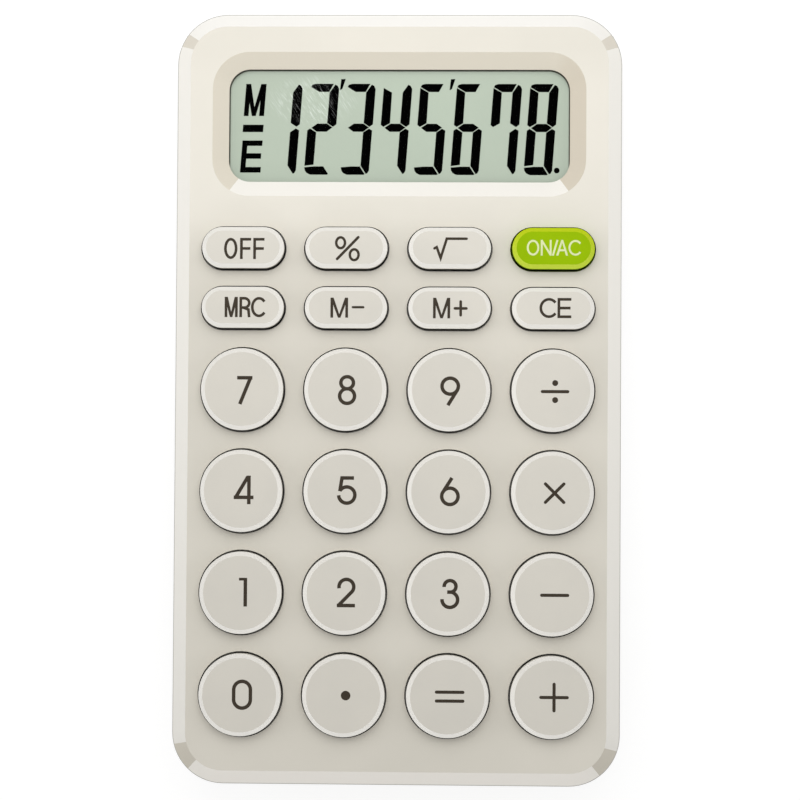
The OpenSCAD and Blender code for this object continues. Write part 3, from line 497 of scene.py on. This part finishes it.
BY_NODE = {
    "front_shell": case_front, "rear_shell": case_rear, "battery_door": case_rear,
    "rubber_feet": foot_rubber, "case_screws": screw_steel, "board_screws": screw_steel,
    "lcd_frame_screws": screw_steel, "display_lens": lens_clear, "lens_adhesive": adhesive,
    "lcd_front_polarizer": film, "lcd_front_glass": glass_clear, "lcd_rear_glass": glass_clear,
    "lcd_reflector": reflector, "lcd_gasket": gasket, "lcd_frame": frame_plastic,
    "zebra_strip": zebra_rubber, "main_board": board, "contact_pads": carbon_print,
    "chip_blob": epoxy, "ceramic_capacitors": ceramic, "resistors": resistor_body,
    "rubber_keypad": silicone, "contact_pills": carbon_rubber, "button_cell": cell_steel,
    "battery_contact_positive": contact_metal, "battery_contact_negative": contact_metal,
    "wire_red": wire_red, "wire_black": wire_black, "key_on_clear_all": key_green,
}

for name, obj in nodes.items():
    obj.data.materials.clear()
    obj.data.materials.append(BY_NODE.get(name, key_plastic).mat)


KEY_EDGE, DOOR_EDGE = 0.10, 0.12        # mm; width of the rounded edges
SHARP = 28                              # degrees; edges that turn by more than this are rounded


def soften(obj, width):
    """Rounds the sharp edges of a moulded piece."""
    b = obj.modifiers.new("soft_edges", "BEVEL")
    b.width = width * MM
    b.segments = 2
    b.limit_method = "ANGLE"
    b.angle_limit = math.radians(SHARP)
    b.harden_normals = False


for name in nodes:
    if name.startswith("key_"):
        soften(nodes[name], KEY_EDGE)
soften(nodes["battery_door"], DOOR_EDGE)

# ---------------------------------------------------------------- drawing flat marks
# From here on, all sizes and places are in mm.


def mesh_object(name, verts, faces, material, body):
    """A piece made of points in mm, which rides on a body."""
    mesh = bpy.data.meshes.new(name)
    mesh.from_pydata([tuple(c * MM for c in v) for v in verts], [], faces)
    mesh.validate()
    mesh.update()
    obj = bpy.data.objects.new(name, mesh)
    scene.collection.objects.link(obj)
    mesh.materials.append(material.mat)
    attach(obj, body)
    return obj


class Marks:
    """Closed flat prisms between two heights: strokes of a pen of one width, and filled outlines."""

    STEP = 0.0012           # each mark stands this much above the one before it, where they cross
    SHARPEST = 0.3          # a corner sharper than this (a cosine) isn't drawn out to its full point

    def __init__(self, z0, z1):
        self.z0, self.z1 = z0, z1
        self.verts, self.faces = [], []

    def next_height(self):
        self.z0 += self.STEP
        self.z1 += self.STEP

    def outline(self, pts):
        """One filled convex outline, anticlockwise."""
        n, base = len(pts), len(self.verts)
        self.next_height()
        self.verts += [(x, y, self.z1) for x, y in pts] + [(x, y, self.z0) for x, y in pts]
        self.faces.append([base + i for i in range(n)])
        self.faces.append([base + n + i for i in reversed(range(n))])
        for i in range(n):
            j = (i + 1) % n
            self.faces.append([base + j, base + i, base + n + i, base + n + j])

    def disc(self, x, y, r, n=28):
        turns = [2 * math.pi * i / n for i in range(n)]
        self.outline([(x + r * math.cos(a), y + r * math.sin(a)) for a in turns])

    def stroke(self, pts, width, closed=False, round_ends=True):
        """A pen stroke with mitred corners and round or square ends."""
        n, h = len(pts), width / 2
        self.next_height()
        left, right = [], []
        for i, (x, y) in enumerate(pts):
            before = pts[i - 1] if i > 0 or closed else None
            after = pts[(i + 1) % n] if i < n - 1 or closed else None
            dirs = []
            if before:
                dirs.append((x - before[0], y - before[1]))
            if after:
                dirs.append((after[0] - x, after[1] - y))
            dirs = [(a / math.hypot(a, b), b / math.hypot(a, b)) for a, b in dirs]
            tx, ty = sum(d[0] for d in dirs), sum(d[1] for d in dirs)
            size = math.hypot(tx, ty)
            tx, ty = tx / size, ty / size
            cos_half = max(self.SHARPEST, dirs[0][0] * tx + dirs[0][1] * ty)
            k = h / cos_half
            left.append((x - ty * k, y + tx * k))
            right.append((x + ty * k, y - tx * k))
        if closed:
            self.ring(left, right)
            return
        start, end = [], []
        if round_ends:
            start = self.cap(pts[0], pts[1], h)
            end = self.cap(pts[-1], pts[-2], h)
        base = len(self.verts)
        rim = right + end + left[::-1] + start
        m = len(rim)
        self.verts += [(x, y, self.z1) for x, y in rim] + [(x, y, self.z0) for x, y in rim]
        last = n + len(end)
        for top in (0, m):
            for i in range(n - 1):
                quad = [base + top + i, base + top + i + 1, base + top + last + n - 2 - i,
                        base + top + last + n - 1 - i]
                self.faces.append(quad if not top else quad[::-1])
            for first, count in ((n - 1, len(end)), (last + n - 1, len(start))):
                if count:
                    fan = [base + top + (first + i) % m for i in range(count + 2)]
                    self.faces.append(fan if not top else fan[::-1])
        for i in range(m):
            j = (i + 1) % m
            self.faces.append([base + j, base + i, base + m + i, base + m + j])

    @staticmethod
    def cap(tip, inner, h, n=6):
        """The points of a round end, without its first and last."""
        start = math.atan2(tip[1] - inner[1], tip[0] - inner[0]) - math.pi / 2
        turns = [start + math.pi * i / n for i in range(1, n)]
        return [(tip[0] + h * math.cos(a), tip[1] + h * math.sin(a)) for a in turns]

    def ring(self, left, right):
        """A closed band between two loops."""
        n, base = len(left), len(self.verts)
        for loop in (left, right):
            self.verts += [(x, y, self.z1) for x, y in loop] + [(x, y, self.z0) for x, y in loop]
        lt, lb, rt, rb = base, base + n, base + 2 * n, base + 3 * n
        for i in range(n):
            j = (i + 1) % n
            self.faces += [[lt + j, lt + i, rt + i, rt + j], [lb + i, lb + j, rb + j, rb + i],
                           [lt + i, lt + j, lb + j, lb + i], [rt + j, rt + i, rb + i, rb + j]]

    def build(self, name, material, body, dx=0.0, dy=0.0):
        verts = [(x + dx, y + dy, z) for x, y, z in self.verts]
        return mesh_object(name, verts, self.faces, material, body)


def arc(cx, cy, rx, ry, a0, a1, n=20):
    """Points along an ellipse between two angles in degrees, both ends included."""
    return [(cx + rx * math.cos(math.radians(a0 + (a1 - a0) * i / n)),
             cy + ry * math.sin(math.radians(a0 + (a1 - a0) * i / n))) for i in range(n + 1)]


def loop(cx, cy, rx, ry):
    return arc(cx, cy, rx, ry, 0, 360, 40)[:-1]


# ---------------------------------------------------------------- key legends

DIGIT_PEN, SIGN_PEN, NAME_PEN, FINE_PEN = 0.55, 0.49, 0.42, 0.30
PERCENT_PEN, ROOT_PEN, SERIF_PEN, MINUS_PEN = NAME_PEN - 0.02, 0.40, 0.42, 0.36
KEY_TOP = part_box("key_5")[1][2] / MM
INK = 0.01          # thickness of the printed ink
INK_ROOT = 0.02     # how far the ink is keyed into the plastic
DIVIDE_DOT, POINT_DOT = 0.46, 0.74

# Proportions of the capitals
C_OPEN = 38         # half the opening of a C, in degrees
LEG = 1.15          # a slanting leg is this wide along the line it stands on, in pens
POINT = 0.9         # half the width where two slanting legs meet, in half pens
N_SLANT = 0.6       # the slant of an N starts this far inside, in half pens
ARM = 0.06          # the middle arm of an E or an F is this much of its width shorter
CROSS_BAR, CROSS_IN = 0.34, 0.25        # height of an A's bar, and how far its ends lie inside
R_BOW, R_LEG = 0.47, 1.3                # foot of an R's bow, and where its leg leaves it, in bow radii
R_KNEE = (0.12, 0.3)                    # the bend in an R's leg


def letter(m, ch, x0, x1, y0, y1, pen):
    """A capital letter whose outline fills a box."""
    h = pen / 2
    l, r, b, t = x0 + h, x1 - h, y0 + h, y1 - h
    cx, cy, rx, ry = (l + r) / 2, (b + t) / 2, (r - l) / 2, (t - b) / 2
    flat = dict(width=pen, round_ends=False)
    if ch == "O":
        m.stroke(loop(cx, cy, rx, ry), pen, closed=True)
    elif ch == "C":
        wide = (x1 - l) / (1 + math.cos(math.radians(C_OPEN)))
        m.stroke(arc(l + wide, cy, wide, ry, C_OPEN, 360 - C_OPEN, 26), **flat)
    elif ch in "FE":
        m.stroke([(l, y0), (l, y1)], **flat)
        m.stroke([(l, t), (x1, t)], **flat)
        m.stroke([(l, cy), (x1 - ARM * (x1 - x0), cy)], **flat)
        if ch == "E":
            m.stroke([(l, b), (x1, b)], **flat)
    elif ch == "M":
        m.stroke([(l, y0), (l, y1)], **flat)
        m.stroke([(r, y0), (r, y1)], **flat)
        for a, b in ((x0, x0 + pen * LEG), (x1 - pen * LEG, x1)):
            m.outline([(cx - h * POINT, y0), (cx + h * POINT, y0), (b, y1), (a, y1)])
    elif ch == "N":
        m.stroke([(l, y0), (l, y1)], **flat)
        m.stroke([(r, y0), (r, y1)], **flat)
        m.stroke([(l, y1 - h * N_SLANT), (r, y0 + h * N_SLANT)], **flat)
    elif ch == "A":
        for a, b in ((x0, x0 + pen * LEG), (x1 - pen * LEG, x1)):
            m.outline([(a, y0), (b, y0), (cx + h * POINT, y1), (cx - h * POINT, y1)])
        bar_y, side = y0 + CROSS_BAR * (y1 - y0), CROSS_IN * (r - l)
        m.stroke([(l + side, bar_y), (r - side, bar_y)], **flat)
    elif ch == "R":
        mid = b + R_BOW * (t - b)
        bow = (t - mid) / 2
        m.stroke([(l, y0), (l, y1)], **flat)
        m.stroke([(l, t)] + arc(r - bow, mid + bow, bow, bow, 90, -90, 12) + [(l, mid)], **flat)
        m.stroke([(r - bow * R_LEG, mid), (r - R_KNEE[0], mid - R_KNEE[1]), (r, y0)], **flat)
    elif ch == "/":
        m.stroke([(l, y0), (r, y1)], **flat)


def word(m, pen, y0, y1, *glyphs):
    """Capitals between two heights, each with its own left and right edge."""
    for ch, x0, x1 in glyphs:
        letter(m, ch, x0, x1, y0, y1, pen)


def legend_off(m):
    word(m, NAME_PEN, -1.74, 1.56, ("O", -2.95, -0.86), ("F", -0.45, 1.27), ("F", 1.61, 3.36))


def legend_percent(m):
    m.stroke(loop(-0.83, 0.79, 0.68, 0.84), PERCENT_PEN, closed=True)
    m.stroke(loop(1.30, -1.07, 0.68, 0.84), PERCENT_PEN, closed=True)
    m.stroke([(-1.36, -1.74), (1.92, 1.66)], NAME_PEN)


def legend_root(m):
    m.stroke([(-2.36, -0.06), (-2.02, 0.14), (-1.40, -1.56), (-0.46, 1.46), (2.62, 1.46)], ROOT_PEN)


def legend_on_clear_all(m):
    word(m, FINE_PEN, -1.22, 1.22, ("O", -4.06, -2.12), ("N", -1.89, -0.21), ("/", -0.17, 0.85),
         ("A", 0.50, 2.36), ("C", 2.40, 4.24))


def legend_memory_recall(m):
    word(m, NAME_PEN, -1.60, 1.56, ("M", -2.84, -0.80), ("R", -0.54, 1.20), ("C", 1.26, 3.36))


def legend_memory_minus(m):
    word(m, NAME_PEN, -1.62, 1.50, ("M", -2.50, 0.24))
    m.stroke([(0.98, 0.02), (2.62, 0.02)], MINUS_PEN)


def legend_memory_plus(m):
    word(m, NAME_PEN, -1.66, 1.54, ("M", -2.58, 0.08))
    m.stroke([(0.82, -0.10), (2.60, -0.10)], NAME_PEN)
    m.stroke([(1.71, -1.16), (1.71, 0.96)], NAME_PEN)


def legend_clear_entry(m):
    word(m, NAME_PEN, -1.56, 1.56, ("C", -2.22, 0.26), ("E", 0.58, 2.72))


def digit(m, *strokes):
    """Strokes of the digits' pen, with square ends."""
    for pts in strokes:
        m.stroke(pts, DIGIT_PEN, round_ends=False)


def legend_0(m):
    outline = arc(0.36, 0.66, 1.30, 1.30, 0, 180) + arc(0.36, -0.88, 1.30, 1.30, 180, 360)
    m.stroke(outline, DIGIT_PEN, closed=True)


def legend_1(m):
    digit(m, [(0.71, -2.34), (0.71, 2.10)])
    m.stroke([(-0.28, 1.90), (0.71, 1.90)], SERIF_PEN, round_ends=False)


def legend_2(m):
    digit(m, arc(0.37, 0.82, 1.15, 1.15, 192, -40, 24) + [(-0.86, -2.08)],
          [(-1.10, -2.08), (1.72, -2.08)])


def legend_3(m):
    digit(m, arc(0.38, 1.10, 0.92, 0.90, 186, -80, 24), arc(0.35, -0.96, 1.21, 1.19, 84, -184, 28),
          [(-0.06, 0.22), (0.55, 0.22)])


def legend_4(m):
    digit(m, [(1.11, -2.32), (1.11, 2.12)], [(0.96, 1.98), (-0.92, -1.22)],
          [(-1.24, -1.26), (1.84, -1.26)])


def legend_5(m):
    digit(m, [(1.46, 1.86), (-0.40, 1.86), (-0.72, -0.20)], arc(0.36, -0.79, 1.26, 1.26, 150, -178, 30))


def legend_6(m):
    m.stroke(loop(0.37, -0.84, 1.27, 1.27), DIGIT_PEN, closed=True)
    digit(m, arc(0.37, -0.84, 1.27, 1.27, 185, 149, 6) + [(0.68, 2.02)])


def legend_7(m):
    digit(m, [(-0.86, 1.70), (1.52, 1.70)], [(1.30, 1.90), (-0.42, -2.40)])


def legend_8(m):
    m.stroke(loop(0.34, 1.05, 0.98, 0.94), DIGIT_PEN, closed=True)
    m.stroke(loop(0.34, -1.02, 1.16, 1.14), DIGIT_PEN, closed=True)


def legend_9(m):
    m.stroke(loop(0.36, 0.63, 1.27, 1.24), DIGIT_PEN, closed=True)
    digit(m, arc(0.36, 0.63, 1.27, 1.24, 5, -31, 6) + [(0.02, -2.34)])


def legend_point(m):
    m.disc(0.33, -0.11, POINT_DOT)


def legend_divide(m):
    m.stroke([(-1.60, -0.17), (2.34, -0.17)], SIGN_PEN)
    m.disc(0.38, 1.16, DIVIDE_DOT)
    m.disc(0.38, -1.48, DIVIDE_DOT)


def legend_multiply(m):
    m.stroke([(-1.04, 1.31), (1.82, -1.55)], SIGN_PEN)
    m.stroke([(-1.04, -1.55), (1.82, 1.31)], SIGN_PEN)


def legend_minus(m):
    m.stroke([(-1.62, -0.11), (2.40, -0.11)], SIGN_PEN)


def legend_equals(m):
    m.stroke([(-1.72, 0.57), (2.38, 0.57)], SIGN_PEN)
    m.stroke([(-1.72, -0.80), (2.38, -0.80)], SIGN_PEN)


def legend_plus(m):
    m.stroke([(-1.60, -0.11), (2.48, -0.11)], SIGN_PEN)
    m.stroke([(0.44, -2.15), (0.44, 1.93)], SIGN_PEN)


LEGENDS = {
    "key_off": legend_off, "key_percent": legend_percent, "key_root": legend_root,
    "key_on_clear_all": legend_on_clear_all, "key_memory_recall": legend_memory_recall,
    "key_memory_minus": legend_memory_minus, "key_memory_plus": legend_memory_plus,
    "key_clear_entry": legend_clear_entry, "key_7": legend_7, "key_8": legend_8, "key_9": legend_9,
    "key_divide": legend_divide, "key_4": legend_4, "key_5": legend_5, "key_6": legend_6,
    "key_multiply": legend_multiply, "key_1": legend_1, "key_2": legend_2, "key_3": legend_3,
    "key_minus": legend_minus, "key_0": legend_0, "key_point": legend_point,
    "key_equals": legend_equals, "key_plus": legend_plus,
}


# The legends are printed a little off the middle of their keys: how far east and north
OFF_CENTRE = {
    "key_off": (0.03, -0.13), "key_percent": (-0.04, -0.07), "key_root": (-0.02, -0.05),
    "key_on_clear_all": (-0.12, 0.05), "key_memory_recall": (0.09, 0), "key_memory_minus": (0.12, 0),
    "key_memory_plus": (0.03, 0), "key_clear_entry": (0.05, 0.02), "key_7": (0.15, 0.05),
    "key_8": (-0.04, 0), "key_9": (-0.18, -0.03), "key_divide": (-0.06, 0), "key_4": (0.15, 0.25),
    "key_5": (0, 0.24), "key_6": (-0.14, 0.19), "key_multiply": (-0.08, 0.06), "key_1": (0.12, 0.24),
    "key_2": (0.03, 0.25), "key_3": (-0.04, 0.15), "key_minus": (0, 0.10), "key_0": (0.09, 0.20),
    "key_point": (0.07, 0.20), "key_equals": (0.04, 0.18), "key_plus": (-0.08, 0.18),
}


def centre(node):
    """The middle of a node, seen from above."""
    lo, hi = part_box(node)
    return (lo[0] + hi[0]) / 2 / MM, (lo[1] + hi[1]) / 2 / MM


for key, draw in LEGENDS.items():
    marks = Marks(KEY_TOP - INK_ROOT, KEY_TOP + INK)
    draw(marks)
    x, y = (at + off for at, off in zip(centre(key), OFF_CENTRE[key]))
    ink, slot = (legend_ink, "legend_ink")
    if key == "key_on_clear_all":
        ink, slot = (legend_white, "legend_white")
    marks.build("legend_" + key[4:], ink, key, x, y)

# ---------------------------------------------------------------- rubber keypad

TURN = 32                # corners round a full turn
SHEET_T = 0.8            # thickness of the sheet that lies on the board
WEB_T = 0.35             # wall of a dome
WEB_INSET = 0.1          # how far a dome's wall reaches in under its boss
DOME_R, BOSS_R, PILL_R = 3.6, 2.2, 1.7
BOSS_SHOULDER = 0.6      # a dome's wall meets its boss this far under the top
PRINT_GAP = 0.01         # a pressed pill stops this far above the print on the board
PUNCH_OVER = 1           # the punch that cuts the sheet stands out this far on both sides
pad_lo, pad_hi = (tuple(v / MM for v in corner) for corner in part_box("rubber_keypad"))
pill_lo, pill_hi = (tuple(v / MM for v in corner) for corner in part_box("contact_pills"))
BOARD_TOP, BOSS_TOP = pad_lo[2], pad_hi[2]
SHEET_TOP = BOARD_TOP + SHEET_T
BOSS_Z, PILL_Z = pill_hi[2], pill_lo[2] + PRINT_GAP
HOLE_R, WEB_Z = DOME_R - WEB_T, SHEET_TOP - WEB_T


def turned(name, profile, at, material, body):
    """A closed solid of revolution about an upright axis; its profile lists (radius, height).

    A point of the profile on the axis becomes one vertex, so the faces beside it are triangles."""
    verts, rings = [], []
    for r, z in profile:
        count = TURN if r else 1
        rings.append(range(len(verts), len(verts) + count))
        for k in range(count):
            a = 2 * math.pi * k / TURN
            verts.append((at[0] + r * math.cos(a), at[1] + r * math.sin(a), z))
    faces = []
    for low, high in zip(rings, rings[1:] + rings[:1]):
        if len(low) == len(high) == 1:
            continue
        for k in range(TURN):
            n = (k + 1) % TURN
            quad = (low[k % len(low)], low[n % len(low)], high[n % len(high)], high[k % len(high)])
            faces.append(tuple(dict.fromkeys(quad)))
    return mesh_object(name, verts, faces, material, body)


def cylinder(r, z0, z1):
    """The profile of an upright cylinder."""
    return [(0, z0), (r, z0), (r, z1), (0, z1)]


def sheet_with_holes(centres):
    """The keypad's flat sheet, with a round hole under each dome."""
    x0, y0, x1, y1 = pad_lo[0], pad_lo[1], pad_hi[0], pad_hi[1]
    plan = ((x0, y0), (x1, y0), (x1, y1), (x0, y1))
    corners = [(x, y, z) for z in (BOARD_TOP, SHEET_TOP) for x, y in plan]
    sides = [(3, 2, 1, 0), (4, 5, 6, 7), (0, 1, 5, 4), (1, 2, 6, 5), (2, 3, 7, 6), (3, 0, 4, 7)]
    sheet = mesh_object("keypad_sheet", corners, sides, silicone, "case")
    z0, z1 = BOARD_TOP - PUNCH_OVER, SHEET_TOP + PUNCH_OVER
    for at in centres:
        punch = turned("punch", cylinder(HOLE_R, z0, z1), at, silicone, "case")
        cut = sheet.modifiers.new("hole", "BOOLEAN")
        cut.operation, cut.solver, cut.object = "DIFFERENCE", "EXACT", punch
        bpy.context.view_layer.update()
        done = sheet.evaluated_get(bpy.context.evaluated_depsgraph_get())
        shape = bpy.data.meshes.new_from_object(done)
        sheet.modifiers.remove(cut)
        sheet.data = shape
        bpy.data.objects.remove(punch)
    return sheet


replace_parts(sheet_with_holes([centre(key) for key in LEGENDS]), "rubber_keypad")
for key in LEGENDS:
    at, mark = centre(key), key[4:]
    boss = turned("keypad_boss_" + mark, cylinder(BOSS_R, BOSS_Z, BOSS_TOP), at, silicone, key)
    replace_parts(boss, "rubber_keypad")
    web_profile = [(BOSS_R - WEB_INSET, BOSS_Z), (HOLE_R, WEB_Z), (DOME_R, SHEET_TOP),
                   (BOSS_R, BOSS_TOP - BOSS_SHOULDER)]
    web = turned("keypad_web_" + mark, web_profile, at, silicone, "case")
    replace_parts(web, "rubber_keypad")
    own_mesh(web)
    pill = turned("contact_pill_" + mark, cylinder(PILL_R, PILL_Z, BOSS_Z), at, carbon_rubber, key)
    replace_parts(pill, "contact_pills")

# ---------------------------------------------------------------- display

film_lo, film_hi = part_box("lcd_front_polarizer")
LIFT = 0.75      # through the thick lens the display looks nearer than it lies, so it stands higher
FILM_Z0, FILM_Z1 = film_lo[2] / MM, film_hi[2] / MM + LIFT
LCD_Z0, LCD_Z1 = FILM_Z1 + 0.005, FILM_Z1 + 0.02        # the dark marks, just above the face
CELL_Y = 35.45       # foot of the digits
SLANT = 0.0745
LAST_X = 19.61       # left foot of the last digit
PITCH = 5.79
M_Y0, M_Y1 = 44.76, 49.85
M_FOOT = ((-24.12, M_Y0), (-23.52, M_Y0))
E_Y0, E_Y1 = 35.76, 40.85
COMMA = [(-0.37, 0), (0, 0.2), (0.4, 1.78), (-0.29, 1.74)]
COMMA_X, COMMA_Y = (-10.1, 7.26), 48.9
DECIMAL_POINT, DECIMAL_R = (24.87, 36.19), 0.45

# The upright and level bars of the signs before the digits, before the slant: x0, x1, y0, y1
M_BARS = ((-25.41, -24.66, M_Y0, M_Y1), (-22.97, -22.19, M_Y0, M_Y1))
MINUS_BAR = (-25.38, -22.13, 42.20, 43.36)
E_BARS = ((-25.27, -24.45, E_Y0, E_Y1), (-24.50, -22.08, 40.01, E_Y1), (-24.50, -22.14, 37.96, 38.82),
          (-24.50, -22.02, E_Y0, 36.63))
M_SLANTS = (((-24.64, M_Y1), (-25.44, M_Y1)), ((-22.41, M_Y1), (-23.03, M_Y1)))     # their upper ends

# The seven segments of one digit, from its foot, before the slant
SEGMENTS = {
    "a": [(1.40, 13.17), (2.99, 13.17), (3.61, 14.45), (0.74, 14.45), (0.22, 14.29), (0.05, 13.95)],
    "b": [(3.06, 13.06), (3.06, 8.21), (4.02, 7.62), (4.53, 8.02), (4.51, 13.64), (4.24, 14.13),
          (3.86, 14.32)],
    "c": [(3.10, 1.46), (4.04, 0.13), (4.28, 0.27), (4.49, 0.69), (4.48, 7.03), (3.95, 7.33),
          (3.08, 6.72)],
    "d": [(0.11, 0.69), (0.40, 0.29), (1.01, 0.00), (3.70, 0.00), (3.84, 0.11), (2.99, 1.31),
          (1.54, 1.31), (0.00, 1.17)],
    "e": [(0.00, 1.41), (1.43, 1.59), (1.43, 6.72), (0.42, 7.33), (0.00, 7.03)],
    "f": [(0.00, 7.93), (0.42, 7.62), (1.43, 8.21), (1.36, 13.06), (0.00, 13.80)],
    "g": [(1.50, 6.84), (3.08, 6.84), (3.93, 7.51), (3.03, 8.11), (1.52, 8.11), (0.63, 7.46)],
}
DIGITS = {"1": "bc", "2": "abged", "3": "abgcd", "4": "fgbc", "5": "afgcd", "6": "afgedc", "7": "abcf",
          "8": "abcdefg"}


def lifted(x, y):
    """Where a mark goes so that the camera sees it in the same place as before the lift."""
    away = LIFT / (CAMERA_AT[2] - LCD_Z1 + LIFT)
    return x + (CAMERA_AT[0] - x) * away, y + (CAMERA_AT[1] - y) * away


def slanted(pts, x0=0.0, y0=0.0):
    """An upright outline, moved to its place and leant over."""
    return [lifted(x0 + x + SLANT * (y0 + y - CELL_Y), y0 + y) for x, y in pts]


def bar(m, x0, x1, y0, y1):
    m.outline(slanted([(x0, y0), (x1, y0), (x1, y1), (x0, y1)]))


marks = Marks(FILM_Z0, FILM_Z1)
x0, y0, x1, y1 = (v / MM for v in (film_lo[0], film_lo[1], film_hi[0], film_hi[1]))
marks.outline([(x0, y0), (x1, y0), (x1, y1), (x0, y1)])
lcd_face = marks.build("lcd_face", film, "case")
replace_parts(lcd_face, "lcd_front_polarizer")

for i, ch in enumerate(DIGITS):
    marks = Marks(LCD_Z0, LCD_Z1)
    for name in DIGITS[ch]:
        marks.outline(slanted(SEGMENTS[name], LAST_X - (len(DIGITS) - 1 - i) * PITCH, CELL_Y))
    marks.build("lcd_digit_" + ch, lcd_ink, "case")

marks = Marks(LCD_Z0, LCD_Z1)
for box in M_BARS:
    bar(marks, *box)
for end in M_SLANTS:
    marks.outline(slanted(M_FOOT + end))
for box in (MINUS_BAR,) + E_BARS:
    bar(marks, *box)
marks.build("lcd_signs", lcd_ink, "case")

marks = Marks(LCD_Z0, LCD_Z1)
for x in COMMA_X:
    marks.outline(slanted(COMMA, x, COMMA_Y))
marks.disc(*lifted(*DECIMAL_POINT), DECIMAL_R)
marks.build("lcd_points", lcd_ink, "case")

# ---------------------------------------------------------------- painted shade: a dark line round the top and sides of the window

lens_lo, lens_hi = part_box("display_lens")
WINDOW_X, WINDOW_R = 26.85, 3.35        # half the window's width, and the radius of its upper corners
WINDOW_MARGIN = 1.2                     # the window ends this far inside the lens
LINE_PEN, LINE_OUT, LINE_T = 0.5, 0.1, 0.01
window_y0, window_y1 = lens_lo[1] / MM + WINDOW_MARGIN, lens_hi[1] / MM - WINDOW_MARGIN
LENS_TOP = lens_hi[2] / MM


def window_path(out):
    """Up the west side of the window, over its top and down the east side."""
    x, y0, y1, r = WINDOW_X + out, window_y0, window_y1 + out, WINDOW_R + out
    west = arc(-x + r, y1 - r, r, r, 180, 90, 10)
    east = arc(x - r, y1 - r, r, r, 90, 0, 10)
    return [(-x, y0)] + west + east + [(x, y0)]


# Painted shade: the window's edge gets a dark line over its top and sides, and none along its foot
marks = Marks(LENS_TOP - LINE_T, LENS_TOP + LINE_T)
marks.stroke(window_path(LINE_OUT), LINE_PEN, round_ends=False)
marks.build("window_shade_line", window_shade, "case")

# ---------------------------------------------------------------- floor and light
# Sizes and places of the floor and the lamps are metres, and powers are watts.

FLOOR = 1.6
FLOOR_SHADE, FLOOR_GLOW = 0.28, 0.80
WORLD_LIGHT = 0.478


def grey(level):
    return (level, level, level, 1)


def seen_rays(tree):
    """1 for the rays that look at the white, 0 for those that only carry its light."""
    path = tree.nodes.new("ShaderNodeLightPath")
    seen = path.outputs["Is Camera Ray"]
    for other in ("Is Glossy Ray", "Is Transmission Ray"):
        either = tree.nodes.new("ShaderNodeMath")
        either.operation = "MAXIMUM"
        tree.links.new(seen, either.inputs[0])
        tree.links.new(path.outputs[other], either.inputs[1])
        seen = either.outputs[0]
    return seen


bpy.ops.mesh.primitive_plane_add(size=FLOOR, location=(0, 0, 0))
floor = bpy.context.object
floor.name = "floor"
floor_mat = bpy.data.materials.new("floor")
floor_mat.use_nodes = True
tree = floor_mat.node_tree
tree.nodes.clear()
floor_out = tree.nodes.new("ShaderNodeOutputMaterial")
diffuse = tree.nodes.new("ShaderNodeBsdfDiffuse")
diffuse.inputs["Color"].default_value = grey(FLOOR_SHADE)
glow = tree.nodes.new("ShaderNodeEmission")
glow.inputs["Color"].default_value = grey(FLOOR_GLOW)
total = tree.nodes.new("ShaderNodeAddShader")
tree.links.new(seen_rays(tree), glow.inputs["Strength"])
tree.links.new(diffuse.outputs[0], total.inputs[0])
tree.links.new(glow.outputs[0], total.inputs[1])
tree.links.new(total.outputs[0], floor_out.inputs[0])
floor.data.materials.append(floor_mat)

world = bpy.data.worlds.new("world")
scene.world = world
world.use_nodes = True
tree = world.node_tree
tree.nodes.clear()
world_out = tree.nodes.new("ShaderNodeOutputWorld")
plain = tree.nodes.new("ShaderNodeBackground")
plain.inputs["Color"].default_value = grey(WORLD_LIGHT)
white = tree.nodes.new("ShaderNodeBackground")
white.inputs["Color"].default_value = grey(1)
mix = tree.nodes.new("ShaderNodeMixShader")
tree.links.new(seen_rays(tree), mix.inputs[0])
tree.links.new(plain.outputs[0], mix.inputs[1])
tree.links.new(white.outputs[0], mix.inputs[2])
tree.links.new(mix.outputs[0], world_out.inputs[0])


def softbox(name, azimuth, distance, height, width, tall, power):
    """An area light that stands beside the object and looks at its middle."""
    data = bpy.data.lights.new(name, "AREA")
    data.shape = "RECTANGLE"
    data.size = width
    data.size_y = tall
    data.energy = power
    obj = bpy.data.objects.new(name, data)
    a = math.radians(azimuth)
    obj.location = (distance * math.cos(a), distance * math.sin(a), height)
    aim = -obj.location
    obj.rotation_euler = aim.to_track_quat("-Z", "Y").to_euler()
    obj.visible_camera = False
    scene.collection.objects.link(obj)


LAMPS = {       # azimuth from east in degrees, distance, height, width, how tall, power
    "light_north": (92, 0.085, 0.14, 0.22, 0.16, 0.170),
    "light_west": (176, 0.50, 0.17, 0.30, 0.20, 0.43),
    "light_east": (2, 0.50, 0.17, 0.32, 0.20, 0.354),
    "light_south": (267, 0.50, 0.17, 0.60, 0.20, 0.43),
}
for name, settings in LAMPS.items():
    softbox(name, *settings)
